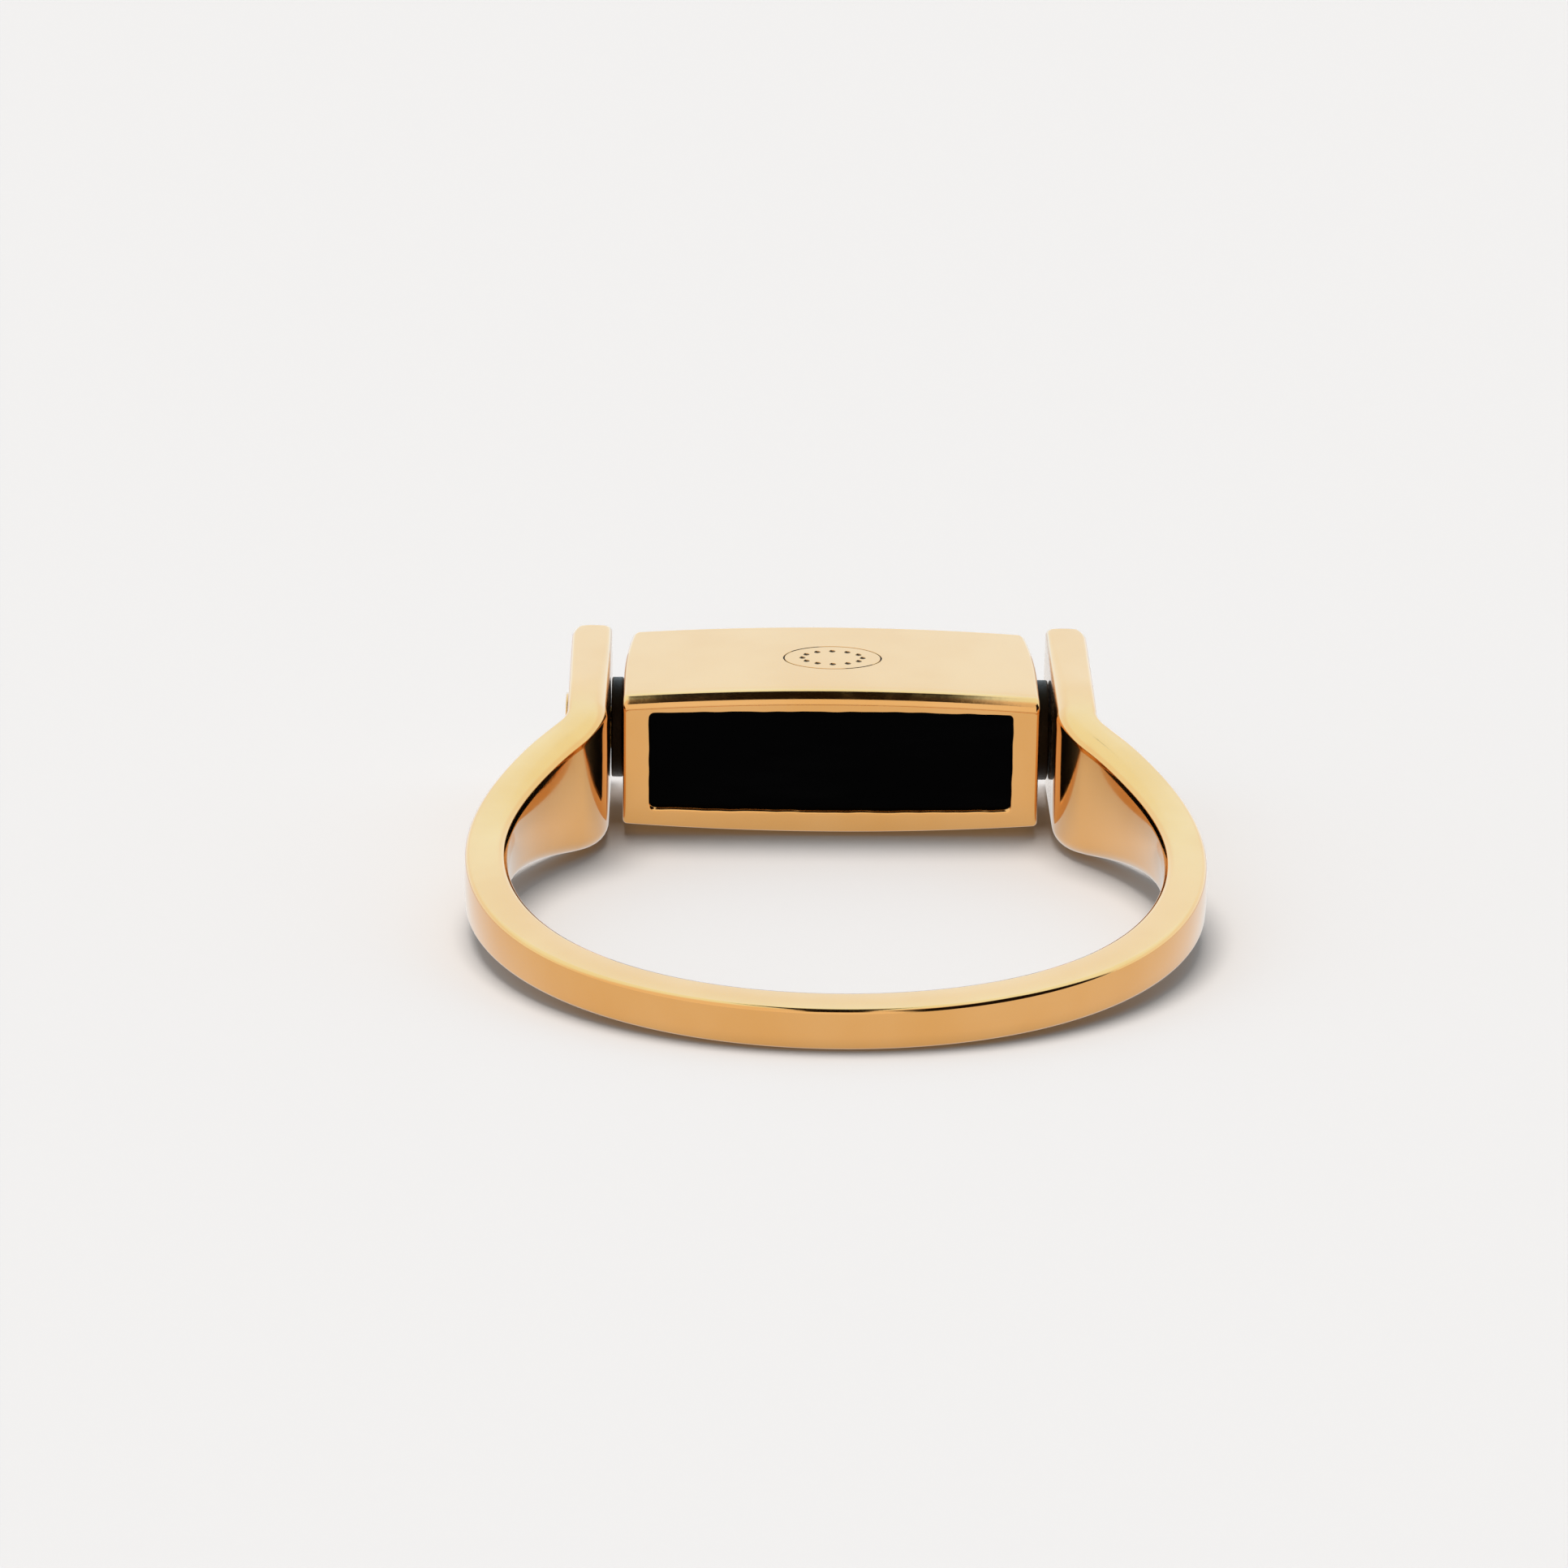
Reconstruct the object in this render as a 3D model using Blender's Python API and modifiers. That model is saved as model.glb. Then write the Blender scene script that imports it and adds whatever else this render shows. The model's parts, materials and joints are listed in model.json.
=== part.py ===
"""Swivel signet ring: an omega-shaped shank whose ears carry a bar-shaped head on a riveted pin.

The head holds a flat onyx on one face and a plain gold table on the other, and turns over
about the pin. Frame: the origin is the centre of the finger hole, on the ring's middle plane.
+X runs along the pin, +Y runs from the back of the band towards the head, and +Z is the
finger's axis. Lengths are in metres.
"""

import math

import bmesh
import bpy
from mathutils import Vector

# Band
FINGER_HOLE_RADIUS = 0.00865
BAND_BACK_WALL = 0.00122
SHOULDER_WALL = 0.00116
BAND_BACK_WIDTH = 0.00113
BAND_SIDE_WIDTH = 0.00164
BAND_SQUARENESS = 0.00016
FLARE_BLEND = 0.4

# Head
HEAD_DEPTH = 0.00523
HEAD_END_HEIGHT = 0.00374
HEAD_BOW = 0.00021
HEAD_EDGE_RADIUS = 0.0002
CASE_WALL = 0.00036
PARTITION_THICKNESS = 0.00026

# Ears, which stand either side of the head and a touch proud of its belly
EAR_SPAN = 0.01224
EAR_PROUD = 0.00003
EAR_SETBACK = 0.00003
FOLD_INNER_RADIUS = 0.0032
FOLD_OUTER_RADIUS = 0.0011
EAR_OUTER_CORNER_RADIUS = 0.00034
EAR_OUTER_CORNER_LENGTH = 0.0008
EAR_INNER_CORNER_RADIUS = 0.00015
SHANK_OUTER_EDGE_RADIUS = 0.00014
SHANK_INNER_EDGE_RADIUS = 0.00024

# Onyx and the plain table opposite it, which fill equal windows inside the head's rims
END_RIM = 0.00074
SIDE_RIM = 0.00041
WINDOW_BOW = 0.00007
WINDOW_CORNER_RADIUS = 0.00015
ONYX_THICKNESS = 0.001
TABLE_THICKNESS = 0.00036

# Pivot
PIN_RADIUS = 0.0006
PIN_HEAD_OVERHANG = 0.00035
PIN_HEAD_THICKNESS = 0.0001
TUBE_WALL = 0.0002
WASHER_OVERHANG = 0.0008

# Fits: the head's gap to each ear, and its corners' room past the band as it turns over
HEAD_SIDE_GAP = 0.00037
TURNING_ROOM = 0.000646
RUNNING_CLEARANCE = 0.00003
SEAT_CLEARANCE = 0.00002

# Facets
ARC_STEP = math.radians(4.5)
ROUND_STEPS = 48
EDGE_SEGMENTS = 3

MODEL_NAME = "swivel_signet_ring"
CUTTER_NAME = "swivel_signet_ring_cutters"
MERGE_DISTANCE = 1e-7

EAR_INNER_X = EAR_SPAN / 2
EAR_OUTER_X = EAR_INNER_X + SHOULDER_WALL
HEAD_LENGTH = EAR_SPAN - 2 * HEAD_SIDE_GAP
HEAD_HALF_HEIGHT = HEAD_END_HEIGHT / 2 + HEAD_BOW
EAR_WIDTH = 2 * (HEAD_HALF_HEIGHT + EAR_PROUD)
BAND_REACH_Y = math.sqrt(FINGER_HOLE_RADIUS**2 - (HEAD_LENGTH / 2)**2)
PIVOT_Y = BAND_REACH_Y + TURNING_ROOM + math.hypot(HEAD_DEPTH / 2, HEAD_HALF_HEIGHT)
HEAD_FRONT_Y = PIVOT_Y - HEAD_DEPTH / 2
HEAD_BACK_Y = PIVOT_Y + HEAD_DEPTH / 2
EAR_END_Y = HEAD_BACK_Y - EAR_SETBACK
WINDOW_LENGTH = HEAD_LENGTH - 2 * END_RIM
WINDOW_END_HEIGHT = HEAD_END_HEIGHT - 2 * SIDE_RIM
POCKET_FLOOR_Y = HEAD_FRONT_Y + ONYX_THICKNESS + SEAT_CLEARANCE
PIN_HEAD_RADIUS = PIN_RADIUS + PIN_HEAD_OVERHANG
TUBE_BORE_RADIUS = PIN_RADIUS + RUNNING_CLEARANCE
TUBE_OUTER_RADIUS = TUBE_BORE_RADIUS + TUBE_WALL
WASHER_RADIUS = PIN_RADIUS + WASHER_OVERHANG


def clear_scene():
    """Remove the objects that a new scene starts with."""
    for old in list(bpy.data.objects):
        bpy.data.objects.remove(old, do_unlink=True)


def make_collection(name):
    """Make a collection under the scene's own."""
    collection = bpy.data.collections.new(name)
    bpy.context.scene.collection.children.link(collection)
    return collection


def make_material(name, colour, roughness, metallic):
    """Make a plain material with a Principled shader."""
    material = bpy.data.materials.new(name)
    material.use_nodes = True
    shader = material.node_tree.nodes["Principled BSDF"]
    shader.inputs["Base Color"].default_value = (*colour, 1.0)
    shader.inputs["Roughness"].default_value = roughness
    shader.inputs["Metallic"].default_value = metallic
    return material


def polished_gold(name):
    """Bright polished yellow gold."""
    return make_material(name, (0.86, 0.58, 0.27), 0.12, 1.0)


def plain_gold(name):
    """Gold left as it was drawn or turned, on pieces that hardly show."""
    return make_material(name, (0.74, 0.5, 0.25), 0.35, 1.0)


def black_onyx(name):
    """Polished black stone."""
    return make_material(name, (0.004, 0.004, 0.005), 0.05, 0.0)


def place(name, mesh, material, collection):
    """Put a mesh in the model as a named object with its own material."""
    thing = bpy.data.objects.new(name, mesh)
    mesh.materials.clear()
    mesh.materials.append(material)
    collection.objects.link(thing)
    return thing


def place_cutter(name, mesh, collection):
    """Put a mesh among the cutters, where it only shows as wire."""
    cutter = bpy.data.objects.new(name, mesh)
    cutter.hide_render = True
    cutter.display_type = "WIRE"
    collection.objects.link(cutter)
    return cutter


def cut(target, cutter):
    """Take one object's shape away from another."""
    boolean = target.modifiers.new("cut_" + cutter.name, "BOOLEAN")
    boolean.operation = "DIFFERENCE"
    boolean.solver = "EXACT"
    boolean.object = cutter


def turned_mesh(name, profile):
    """Turn (radius, height) points, listed down the outer side, about the pivot's line.

    The profile's height runs along +X, and the finished mesh lies on the pivot.
    """
    mesh = bpy.data.meshes.new(name + "_profile")
    points = [(radius, 0.0, height) for radius, height in profile]
    edges = [(i, i + 1) for i in range(len(points) - 1)]
    if profile[0][0] > 0:
        edges.append((len(points) - 1, 0))
    mesh.from_pydata(points, edges, [])
    profile_object = bpy.data.objects.new(name + "_profile", mesh)
    bpy.context.scene.collection.objects.link(profile_object)
    screw = profile_object.modifiers.new("turn", "SCREW")
    screw.steps = ROUND_STEPS
    screw.render_steps = ROUND_STEPS
    screw.use_merge_vertices = True
    screw.merge_threshold = MERGE_DISTANCE
    turned = evaluated_mesh(profile_object, name)
    for vertex in turned.vertices:
        radial_x, radial_y, height = vertex.co
        vertex.co = (height, PIVOT_Y + radial_y, -radial_x)
    bpy.data.objects.remove(profile_object, do_unlink=True)
    return turned


def evaluated_mesh(source, name):
    """Return an object's mesh, in world space, with its modifiers applied."""
    bpy.context.view_layer.update()
    graph = bpy.context.evaluated_depsgraph_get()
    mesh = bpy.data.meshes.new_from_object(source.evaluated_get(graph))
    mesh.name = name
    mesh.transform(source.matrix_world)
    return mesh


def shade_round(mesh):
    """Shade a mesh smooth except across its sharp edges."""
    mesh.shade_smooth()
    mesh.set_sharp_from_angle(angle=math.radians(35))


def bowed_outline(length, end_height, bow, corner_radius):
    """Points of a rectangle whose long sides bow outwards, with round corners.

    The points run anticlockwise from the lower left, in the plane of length and height.
    """
    half_length = length / 2
    half_height = end_height / 2
    arc_radius = (half_length**2 + bow**2) / (2 * bow)

    def upper_edge(x):
        return half_height + bow - arc_radius + math.sqrt(arc_radius**2 - x**2)

    flat_end = half_length - corner_radius
    samples = 16
    lower = [-flat_end + 2 * flat_end * i / samples for i in range(samples + 1)]
    corner_z = upper_edge(flat_end) - corner_radius
    corner_steps = 3
    turn = [math.pi / 2 * i / corner_steps for i in range(1, corner_steps)]
    right = [(flat_end + corner_radius * math.sin(a), -corner_z - corner_radius * math.cos(a))
             for a in turn]
    right.append((half_length, -corner_z))
    right.append((half_length, corner_z))
    right += [(flat_end + corner_radius * math.cos(a), corner_z + corner_radius * math.sin(a))
              for a in turn]
    bottom = [(x, -upper_edge(x)) for x in lower]
    top_side = [(-x, -z) for x, z in bottom]
    left = [(-x, -z) for x, z in right]
    return bottom + right + top_side + left


def bowed_slab(name, outline, front_y, back_y):
    """Extrude an outline along Y between two planes and return the closed mesh."""
    curve = bpy.data.curves.new(name + "_outline", "CURVE")
    curve.dimensions = "2D"
    curve.fill_mode = "BOTH"
    curve.extrude = (back_y - front_y) / 2
    spline = curve.splines.new("POLY")
    spline.points.add(len(outline) - 1)
    for point, (x, z) in zip(spline.points, outline):
        point.co = (x, z, 0.0, 1.0)
    spline.use_cyclic_u = True
    outline_object = bpy.data.objects.new(name + "_outline", curve)
    outline_object.rotation_euler = (math.pi / 2, 0.0, 0.0)
    outline_object.location = (0.0, (front_y + back_y) / 2, 0.0)
    bpy.context.scene.collection.objects.link(outline_object)
    slab = evaluated_mesh(outline_object, name)
    bpy.data.objects.remove(outline_object, do_unlink=True)
    welded = bmesh.new()
    welded.from_mesh(slab)
    bmesh.ops.remove_doubles(welded, verts=welded.verts, dist=MERGE_DISTANCE)
    bmesh.ops.recalc_face_normals(welded, faces=welded.faces)
    welded.to_mesh(slab)
    welded.free()
    return slab


def cylinder_along_pivot(name, radius, low_x, high_x):
    """A plain cylinder round the pivot's line, for cutting."""
    return turned_mesh(name, [(0.0, high_x), (radius, high_x), (radius, low_x), (0.0, low_x)])


def circle_point(radius, from_front):
    """A point of the band's circle, at an angle measured from the head's side, +Y."""
    return Vector((radius * math.sin(from_front), radius * math.cos(from_front)))


def corner_arc(centre, radius, start, end, share, length=None):
    """A point on an arc, at a share of the way from one angle to another.

    A length makes it a quarter of an ellipse, that long in Y.
    """
    angle = start + (end - start) * share
    rise = radius if length is None else length
    return Vector((centre[0] + radius * math.cos(angle), centre[1] + rise * math.sin(angle)))


def fold_centre(circle_radius, line_x, fold_radius):
    """Centre of the arc that joins the band's circle to an ear's straight face."""
    centre_x = line_x + fold_radius
    reach = circle_radius + fold_radius
    return Vector((centre_x, math.sqrt(reach**2 - centre_x**2)))


def fold_start():
    """Angle from +Y at which the first of the band's two outlines starts to fold."""
    inner = fold_centre(FINGER_HOLE_RADIUS, EAR_INNER_X, FOLD_INNER_RADIUS)
    outer = fold_centre(FINGER_HOLE_RADIUS + SHOULDER_WALL, EAR_OUTER_X, FOLD_OUTER_RADIUS)
    return max(math.atan2(inner.x, inner.y), math.atan2(outer.x, outer.y))


def straight_start():
    """Height along Y from which both faces of an ear are straight."""
    inner = fold_centre(FINGER_HOLE_RADIUS, EAR_INNER_X, FOLD_INNER_RADIUS)
    outer = fold_centre(FINGER_HOLE_RADIUS + SHOULDER_WALL, EAR_OUTER_X, FOLD_OUTER_RADIUS)
    return max(inner.y, outer.y)


def band_stations():
    """Pairs of inner and outer points of the right half, from the band's back to the fold."""
    fold_angle = fold_start()
    count = round((math.pi - fold_angle) / ARC_STEP)
    pairs = []
    for i in range(count + 1):
        from_front = math.pi - (math.pi - fold_angle) * i / count
        from_back = math.pi - from_front
        thinning = min(from_back / (math.pi / 2), 1.0)
        blend = thinning * thinning * (3 - 2 * thinning)
        wall = BAND_BACK_WALL + (SHOULDER_WALL - BAND_BACK_WALL) * blend
        swell = 0.0
        if from_back < math.pi / 2:
            swell = BAND_SQUARENESS * (1 - math.cos(4 * from_back)) / 2
        inner = circle_point(FINGER_HOLE_RADIUS + swell, from_front)
        outer = circle_point(FINGER_HOLE_RADIUS + swell + wall, from_front)
        pairs.append((inner, outer))
    return pairs


def folded_point(circle_radius, line_x, fold_radius, share):
    """A point of one outline, at a share of its way through the fold.

    The way has a rest of the band's circle, the fold's arc and a start of the ear's straight face.
    """
    centre = fold_centre(circle_radius, line_x, fold_radius)
    fold_angle = math.atan2(centre.x, centre.y)
    arc_start = math.atan2(-centre.y, -centre.x)
    lead = circle_radius * (fold_start() - fold_angle)
    bend = fold_radius * (arc_start + math.pi)
    straight = straight_start() - centre.y
    walked = (lead + bend + straight) * share
    if walked < lead:
        return circle_point(circle_radius, fold_start() - walked / circle_radius)
    if walked < lead + bend:
        return corner_arc(centre, fold_radius, arc_start, -math.pi, (walked - lead) / bend)
    return Vector((line_x, centre.y + walked - lead - bend))


def fold_stations():
    """Pairs of points through the right fold, up to where both faces of the ear are straight."""
    count = 14
    pairs = []
    for i in range(1, count + 1):
        share = i / count
        inner = folded_point(FINGER_HOLE_RADIUS, EAR_INNER_X, FOLD_INNER_RADIUS, share)
        outer = folded_point(FINGER_HOLE_RADIUS + SHOULDER_WALL, EAR_OUTER_X, FOLD_OUTER_RADIUS, share)
        pairs.append((inner, outer))
    return pairs


def ear_stations():
    """Pairs of points along the right ear, ending with its two rounded back corners."""
    start_y = straight_start()
    outer_corner = Vector((EAR_OUTER_X - EAR_OUTER_CORNER_RADIUS, EAR_END_Y - EAR_OUTER_CORNER_LENGTH))
    inner_corner = Vector((EAR_INNER_X + EAR_INNER_CORNER_RADIUS, EAR_END_Y - EAR_INNER_CORNER_RADIUS))
    straight_count = 8
    pairs = []
    for i in range(1, straight_count + 1):
        share = i / straight_count
        inner = Vector((EAR_INNER_X, start_y + (inner_corner.y - start_y) * share))
        outer = Vector((EAR_OUTER_X, start_y + (outer_corner.y - start_y) * share))
        pairs.append((inner, outer))
    corner_count = 4
    for i in range(1, corner_count + 1):
        share = i / corner_count
        inner = corner_arc(inner_corner, EAR_INNER_CORNER_RADIUS, math.pi, math.pi / 2, share)
        outer = corner_arc(outer_corner, EAR_OUTER_CORNER_RADIUS, 0.0, math.pi / 2, share,
                           EAR_OUTER_CORNER_LENGTH)
        pairs.append((inner, outer))
    return pairs


def shank_width(inner, outer):
    """Width of the shank along Z, which flares from the band's back to the ears.

    The flare grows with the angle from the back and eases into the ears' full width at the fold.
    """
    middle = (inner + outer) / 2
    fold = fold_centre(FINGER_HOLE_RADIUS + SHOULDER_WALL, EAR_OUTER_X, FOLD_OUTER_RADIUS)
    full_angle = math.pi - math.atan2(EAR_OUTER_X, fold.y)
    from_back = math.pi - math.atan2(abs(middle.x), middle.y)
    side_share = math.pi / 2 / full_angle
    rise = (BAND_SIDE_WIDTH - BAND_BACK_WIDTH) / (EAR_WIDTH - BAND_BACK_WIDTH)
    power = math.log(rise) / math.log(side_share)
    flare = (from_back / full_angle)**power
    easing = max(FLARE_BLEND - abs(flare - 1), 0.0)
    flare = min(flare, 1.0) - easing**2 / (4 * FLARE_BLEND)
    return BAND_BACK_WIDTH + (EAR_WIDTH - BAND_BACK_WIDTH) * flare


def section_corner(centre_reach, centre_height, radius, start):
    """Points of one rounded corner of a cross-section, running clockwise from an angle."""
    turns = [math.pi / 2 * i / EDGE_SEGMENTS for i in range(EDGE_SEGMENTS + 1)]
    return [(centre_reach + radius * math.cos(start - turn),
             centre_height + radius * math.sin(start - turn)) for turn in turns]


def shank_section(inner, outer):
    """One cross-section, a rectangle with rounded edges, from the finger's side outwards."""
    half_width = shank_width(inner, outer) / 2
    wall = (outer - inner).length
    across = (outer - inner) / wall
    inner_radius = min(SHANK_INNER_EDGE_RADIUS, wall / 3, half_width / 2)
    outer_radius = min(SHANK_OUTER_EDGE_RADIUS, wall / 3, half_width / 2)
    inner_height = half_width - inner_radius
    outer_height = half_width - outer_radius
    outer_reach = wall - outer_radius
    outline = section_corner(inner_radius, inner_height, inner_radius, math.pi)
    outline += section_corner(outer_reach, outer_height, outer_radius, math.pi / 2)
    outline += section_corner(outer_reach, -outer_height, outer_radius, 0.0)
    outline += section_corner(inner_radius, -inner_height, inner_radius, -math.pi / 2)
    spots = [(inner + across * reach, height) for reach, height in outline]
    return [Vector((spot.x, spot.y, height)) for spot, height in spots]


def mirrored(pair):
    """The same pair of points on the left half of the ring."""
    inner, outer = pair
    return Vector((-inner.x, inner.y)), Vector((-outer.x, outer.y))


def shank_mesh():
    """Loft the shank through its cross-sections, from the left ear round to the right one."""
    band = band_stations()
    right = band[1:] + fold_stations() + ear_stations()
    left = [mirrored(pair) for pair in reversed(right)]
    sections = [shank_section(*pair) for pair in left + band[:1] + right]
    shape = bmesh.new()
    rings = [[shape.verts.new(point) for point in section] for section in sections]
    for near, far in zip(rings, rings[1:]):
        for i in range(len(near)):
            following = (i + 1) % len(near)
            shape.faces.new((near[i], near[following], far[following], far[i]))
    shape.faces.new(rings[0])
    shape.faces.new(rings[-1])
    bmesh.ops.recalc_face_normals(shape, faces=shape.faces)
    mesh = bpy.data.meshes.new("shank")
    shape.to_mesh(mesh)
    shape.free()
    return mesh


def make_shank(model, cutters):
    """The band, its flared shoulders and its two drilled ears, in one casting."""
    shank = place("shank", shank_mesh(), polished_gold("shank_gold"), model)
    overrun = SHOULDER_WALL
    hole = cylinder_along_pivot("ear_holes", PIN_RADIUS + SEAT_CLEARANCE,
                                -EAR_OUTER_X - overrun, EAR_OUTER_X + overrun)
    cut(shank, place_cutter("ear_holes", hole, cutters))
    return shank


def round_edges(thing, radius):
    """Round the sharp edges of a part."""
    bevel = thing.modifiers.new("round_edges", "BEVEL")
    bevel.width = radius
    bevel.segments = EDGE_SEGMENTS
    bevel.limit_method = "ANGLE"
    bevel.angle_limit = math.radians(60)


def window_mesh(name, margin, front_y, back_y):
    """A slab with the onyx window's outline, grown by a margin all round."""
    outline = bowed_outline(WINDOW_LENGTH + 2 * margin, WINDOW_END_HEIGHT + 2 * margin,
                            WINDOW_BOW, WINDOW_CORNER_RADIUS + margin)
    return bowed_slab(name, outline, front_y, back_y)


def inset_mesh(name, inset, front_y, back_y):
    """A slab with the head's own outline, drawn in by an inset all round."""
    outline = bowed_outline(HEAD_LENGTH - 2 * inset, HEAD_END_HEIGHT - 2 * inset,
                            HEAD_BOW, WINDOW_CORNER_RADIUS)
    return bowed_slab(name, outline, front_y, back_y)


def make_head_case(model, cutters):
    """The head's thin gold case: a window in each face, hollow inside, bored for the tube."""
    case = place("head_case", inset_mesh("head_case", 0.0, HEAD_FRONT_Y, HEAD_BACK_Y),
                 polished_gold("head_gold"), model)
    round_edges(case, HEAD_EDGE_RADIUS)
    overrun = HEAD_DEPTH / 4
    hollow_front_y = POCKET_FLOOR_Y + PARTITION_THICKNESS
    table_seat_y = HEAD_BACK_Y - TABLE_THICKNESS
    pocket = window_mesh("onyx_pocket", SEAT_CLEARANCE, HEAD_FRONT_Y - overrun, POCKET_FLOOR_Y)
    hollow = inset_mesh("case_hollow", CASE_WALL, hollow_front_y, table_seat_y)
    opening = window_mesh("table_window", SEAT_CLEARANCE, table_seat_y - overrun / 2,
                          HEAD_BACK_Y + overrun)
    bore = cylinder_along_pivot("tube_bore", TUBE_OUTER_RADIUS + SEAT_CLEARANCE,
                                -HEAD_LENGTH / 2 - overrun, HEAD_LENGTH / 2 + overrun)
    for cutter_mesh in (pocket, hollow, opening, bore):
        cut(case, place_cutter(cutter_mesh.name, cutter_mesh, cutters))
    return case


def make_onyx(model):
    """The flat onyx, with its face level with the front of the case."""
    mesh = window_mesh("onyx_inlay", 0.0, HEAD_FRONT_Y, HEAD_FRONT_Y + ONYX_THICKNESS)
    return place("onyx_inlay", mesh, black_onyx("onyx"), model)


def make_table(model):
    """The plain gold table that fills the window in the back of the case."""
    mesh = window_mesh("signet_plate", 0.0, HEAD_BACK_Y - TABLE_THICKNESS, HEAD_BACK_Y)
    return place("signet_plate", mesh, polished_gold("table_gold"), model)


def make_tube(model):
    """The tube through the head, which turns on the pin."""
    half_length = HEAD_LENGTH / 2
    profile = [(TUBE_OUTER_RADIUS, half_length), (TUBE_OUTER_RADIUS, -half_length),
               (TUBE_BORE_RADIUS, -half_length), (TUBE_BORE_RADIUS, half_length)]
    mesh = turned_mesh("pivot_tube", profile)
    return place("pivot_tube", mesh, plain_gold("tube_gold"), model)


def make_pin(model):
    """The pin: a low rivet head outside the left ear, and its far end level with the right."""
    head_inner_x = -EAR_OUTER_X - SEAT_CLEARANCE
    head_outer_x = head_inner_x - PIN_HEAD_THICKNESS
    profile = [(0.0, EAR_OUTER_X), (PIN_RADIUS, EAR_OUTER_X), (PIN_RADIUS, head_inner_x),
               (PIN_HEAD_RADIUS, head_inner_x), (PIN_HEAD_RADIUS, head_outer_x), (0.0, head_outer_x)]
    return place("pivot_pin", turned_mesh("pivot_pin", profile), plain_gold("pin_gold"), model)


def make_washer(name, side, model):
    """A washer on the pin, between the head and the ear on one side."""
    centre_x = side * (EAR_INNER_X + HEAD_LENGTH / 2) / 2
    half_thickness = HEAD_SIDE_GAP / 2 - SEAT_CLEARANCE
    profile = [(WASHER_RADIUS, centre_x + half_thickness), (WASHER_RADIUS, centre_x - half_thickness),
               (TUBE_BORE_RADIUS, centre_x - half_thickness),
               (TUBE_BORE_RADIUS, centre_x + half_thickness)]
    return place(name, turned_mesh(name, profile), plain_gold(name + "_gold"), model)


def hang_on_pivot(parts, model):
    """Parent the pieces that turn with the head to an empty on the pivot's line."""
    pivot = bpy.data.objects.new("head_pivot", None)
    pivot.location = (0.0, PIVOT_Y, 0.0)
    model.objects.link(pivot)
    bpy.context.view_layer.update()
    for part in parts:
        part.parent = pivot
        part.matrix_parent_inverse = pivot.matrix_world.inverted()


def main():
    """Build the ring."""
    clear_scene()
    model = make_collection(MODEL_NAME)
    cutters = make_collection(CUTTER_NAME)
    shank = make_shank(model, cutters)
    pin = make_pin(model)
    washers = [make_washer("washer_left", -1, model), make_washer("washer_right", 1, model)]
    case = make_head_case(model, cutters)
    head = [case, make_onyx(model), make_table(model), make_tube(model)]
    for part in [shank, pin] + washers + head:
        shade_round(part.data)
    hang_on_pivot(head, model)


main()
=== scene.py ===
"""Looks of a swivel signet ring: a gold shank, a bar-shaped head with a flat onyx, and its pivot.

Every piece is built in the CAD's own frame, in metres. The origin is the centre of the finger
hole. +X runs along the pivot pin, +Y from the back of the band towards the head, and +Z along
the finger's axis.
"""

import json
import logging
import math
import random
from dataclasses import dataclass, field
from enum import Enum
from typing import Any, Callable, Iterable, Sequence, Union

import bmesh
import bpy
from mathutils import Matrix, Vector


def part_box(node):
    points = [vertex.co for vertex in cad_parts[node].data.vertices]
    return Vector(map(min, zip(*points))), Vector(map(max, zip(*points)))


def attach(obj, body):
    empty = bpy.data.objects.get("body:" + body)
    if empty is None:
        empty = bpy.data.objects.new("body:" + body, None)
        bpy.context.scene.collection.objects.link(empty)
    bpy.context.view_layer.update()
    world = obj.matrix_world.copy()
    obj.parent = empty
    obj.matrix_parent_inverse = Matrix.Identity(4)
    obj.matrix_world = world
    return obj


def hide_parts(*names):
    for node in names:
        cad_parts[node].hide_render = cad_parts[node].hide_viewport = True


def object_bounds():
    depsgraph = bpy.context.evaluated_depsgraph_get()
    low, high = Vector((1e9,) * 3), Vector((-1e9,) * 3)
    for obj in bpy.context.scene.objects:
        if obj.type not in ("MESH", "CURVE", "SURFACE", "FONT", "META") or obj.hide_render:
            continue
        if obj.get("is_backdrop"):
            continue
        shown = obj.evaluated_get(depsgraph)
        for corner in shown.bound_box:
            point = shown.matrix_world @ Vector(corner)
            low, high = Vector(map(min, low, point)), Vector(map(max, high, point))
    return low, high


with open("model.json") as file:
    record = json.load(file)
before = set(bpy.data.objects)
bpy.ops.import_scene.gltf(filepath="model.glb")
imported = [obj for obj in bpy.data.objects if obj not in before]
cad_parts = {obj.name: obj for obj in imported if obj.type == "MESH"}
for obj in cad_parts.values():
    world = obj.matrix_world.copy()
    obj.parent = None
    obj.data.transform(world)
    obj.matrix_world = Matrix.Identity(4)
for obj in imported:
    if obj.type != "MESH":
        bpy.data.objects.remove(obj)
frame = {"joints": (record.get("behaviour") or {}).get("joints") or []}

log = logging.getLogger("signet_ring")

MM = 0.001
MICRON = 0.000001

Number = Union[float, "Value"]
Ring = list[Vector]


class Body(Enum):
    """The two bodies that the pieces ride on."""

    SHANK = "shank"
    HEAD = "head"


class Slot(Enum):
    """The finishes that the record names."""

    POLISHED_GOLD = "polished_gold"
    PLAIN_GOLD = "plain_gold"
    ONYX = "onyx"


class Side(Enum):
    """The two ends of the pivot, by the sign of X."""

    LEFT = -1
    RIGHT = 1


# ---------------------------------------------------------------------------------------------
# Node trees
# ---------------------------------------------------------------------------------------------


def adds_math(operation: str, swapped: bool = False) -> Callable[..., "Value"]:
    """Make a method of Value that adds one Math node.

    Args:
        operation: The node's operation.
        swapped: Whether the value itself comes last, as in a reflected operator.

    Returns:
        The method.
    """
    def method(value: "Value", *others: Number) -> "Value":
        """Add the Math node and wrap its result."""
        terms = (*others, value) if swapped else (value, *others)
        return value.tree.math(operation, *terms)
    return method


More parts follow.
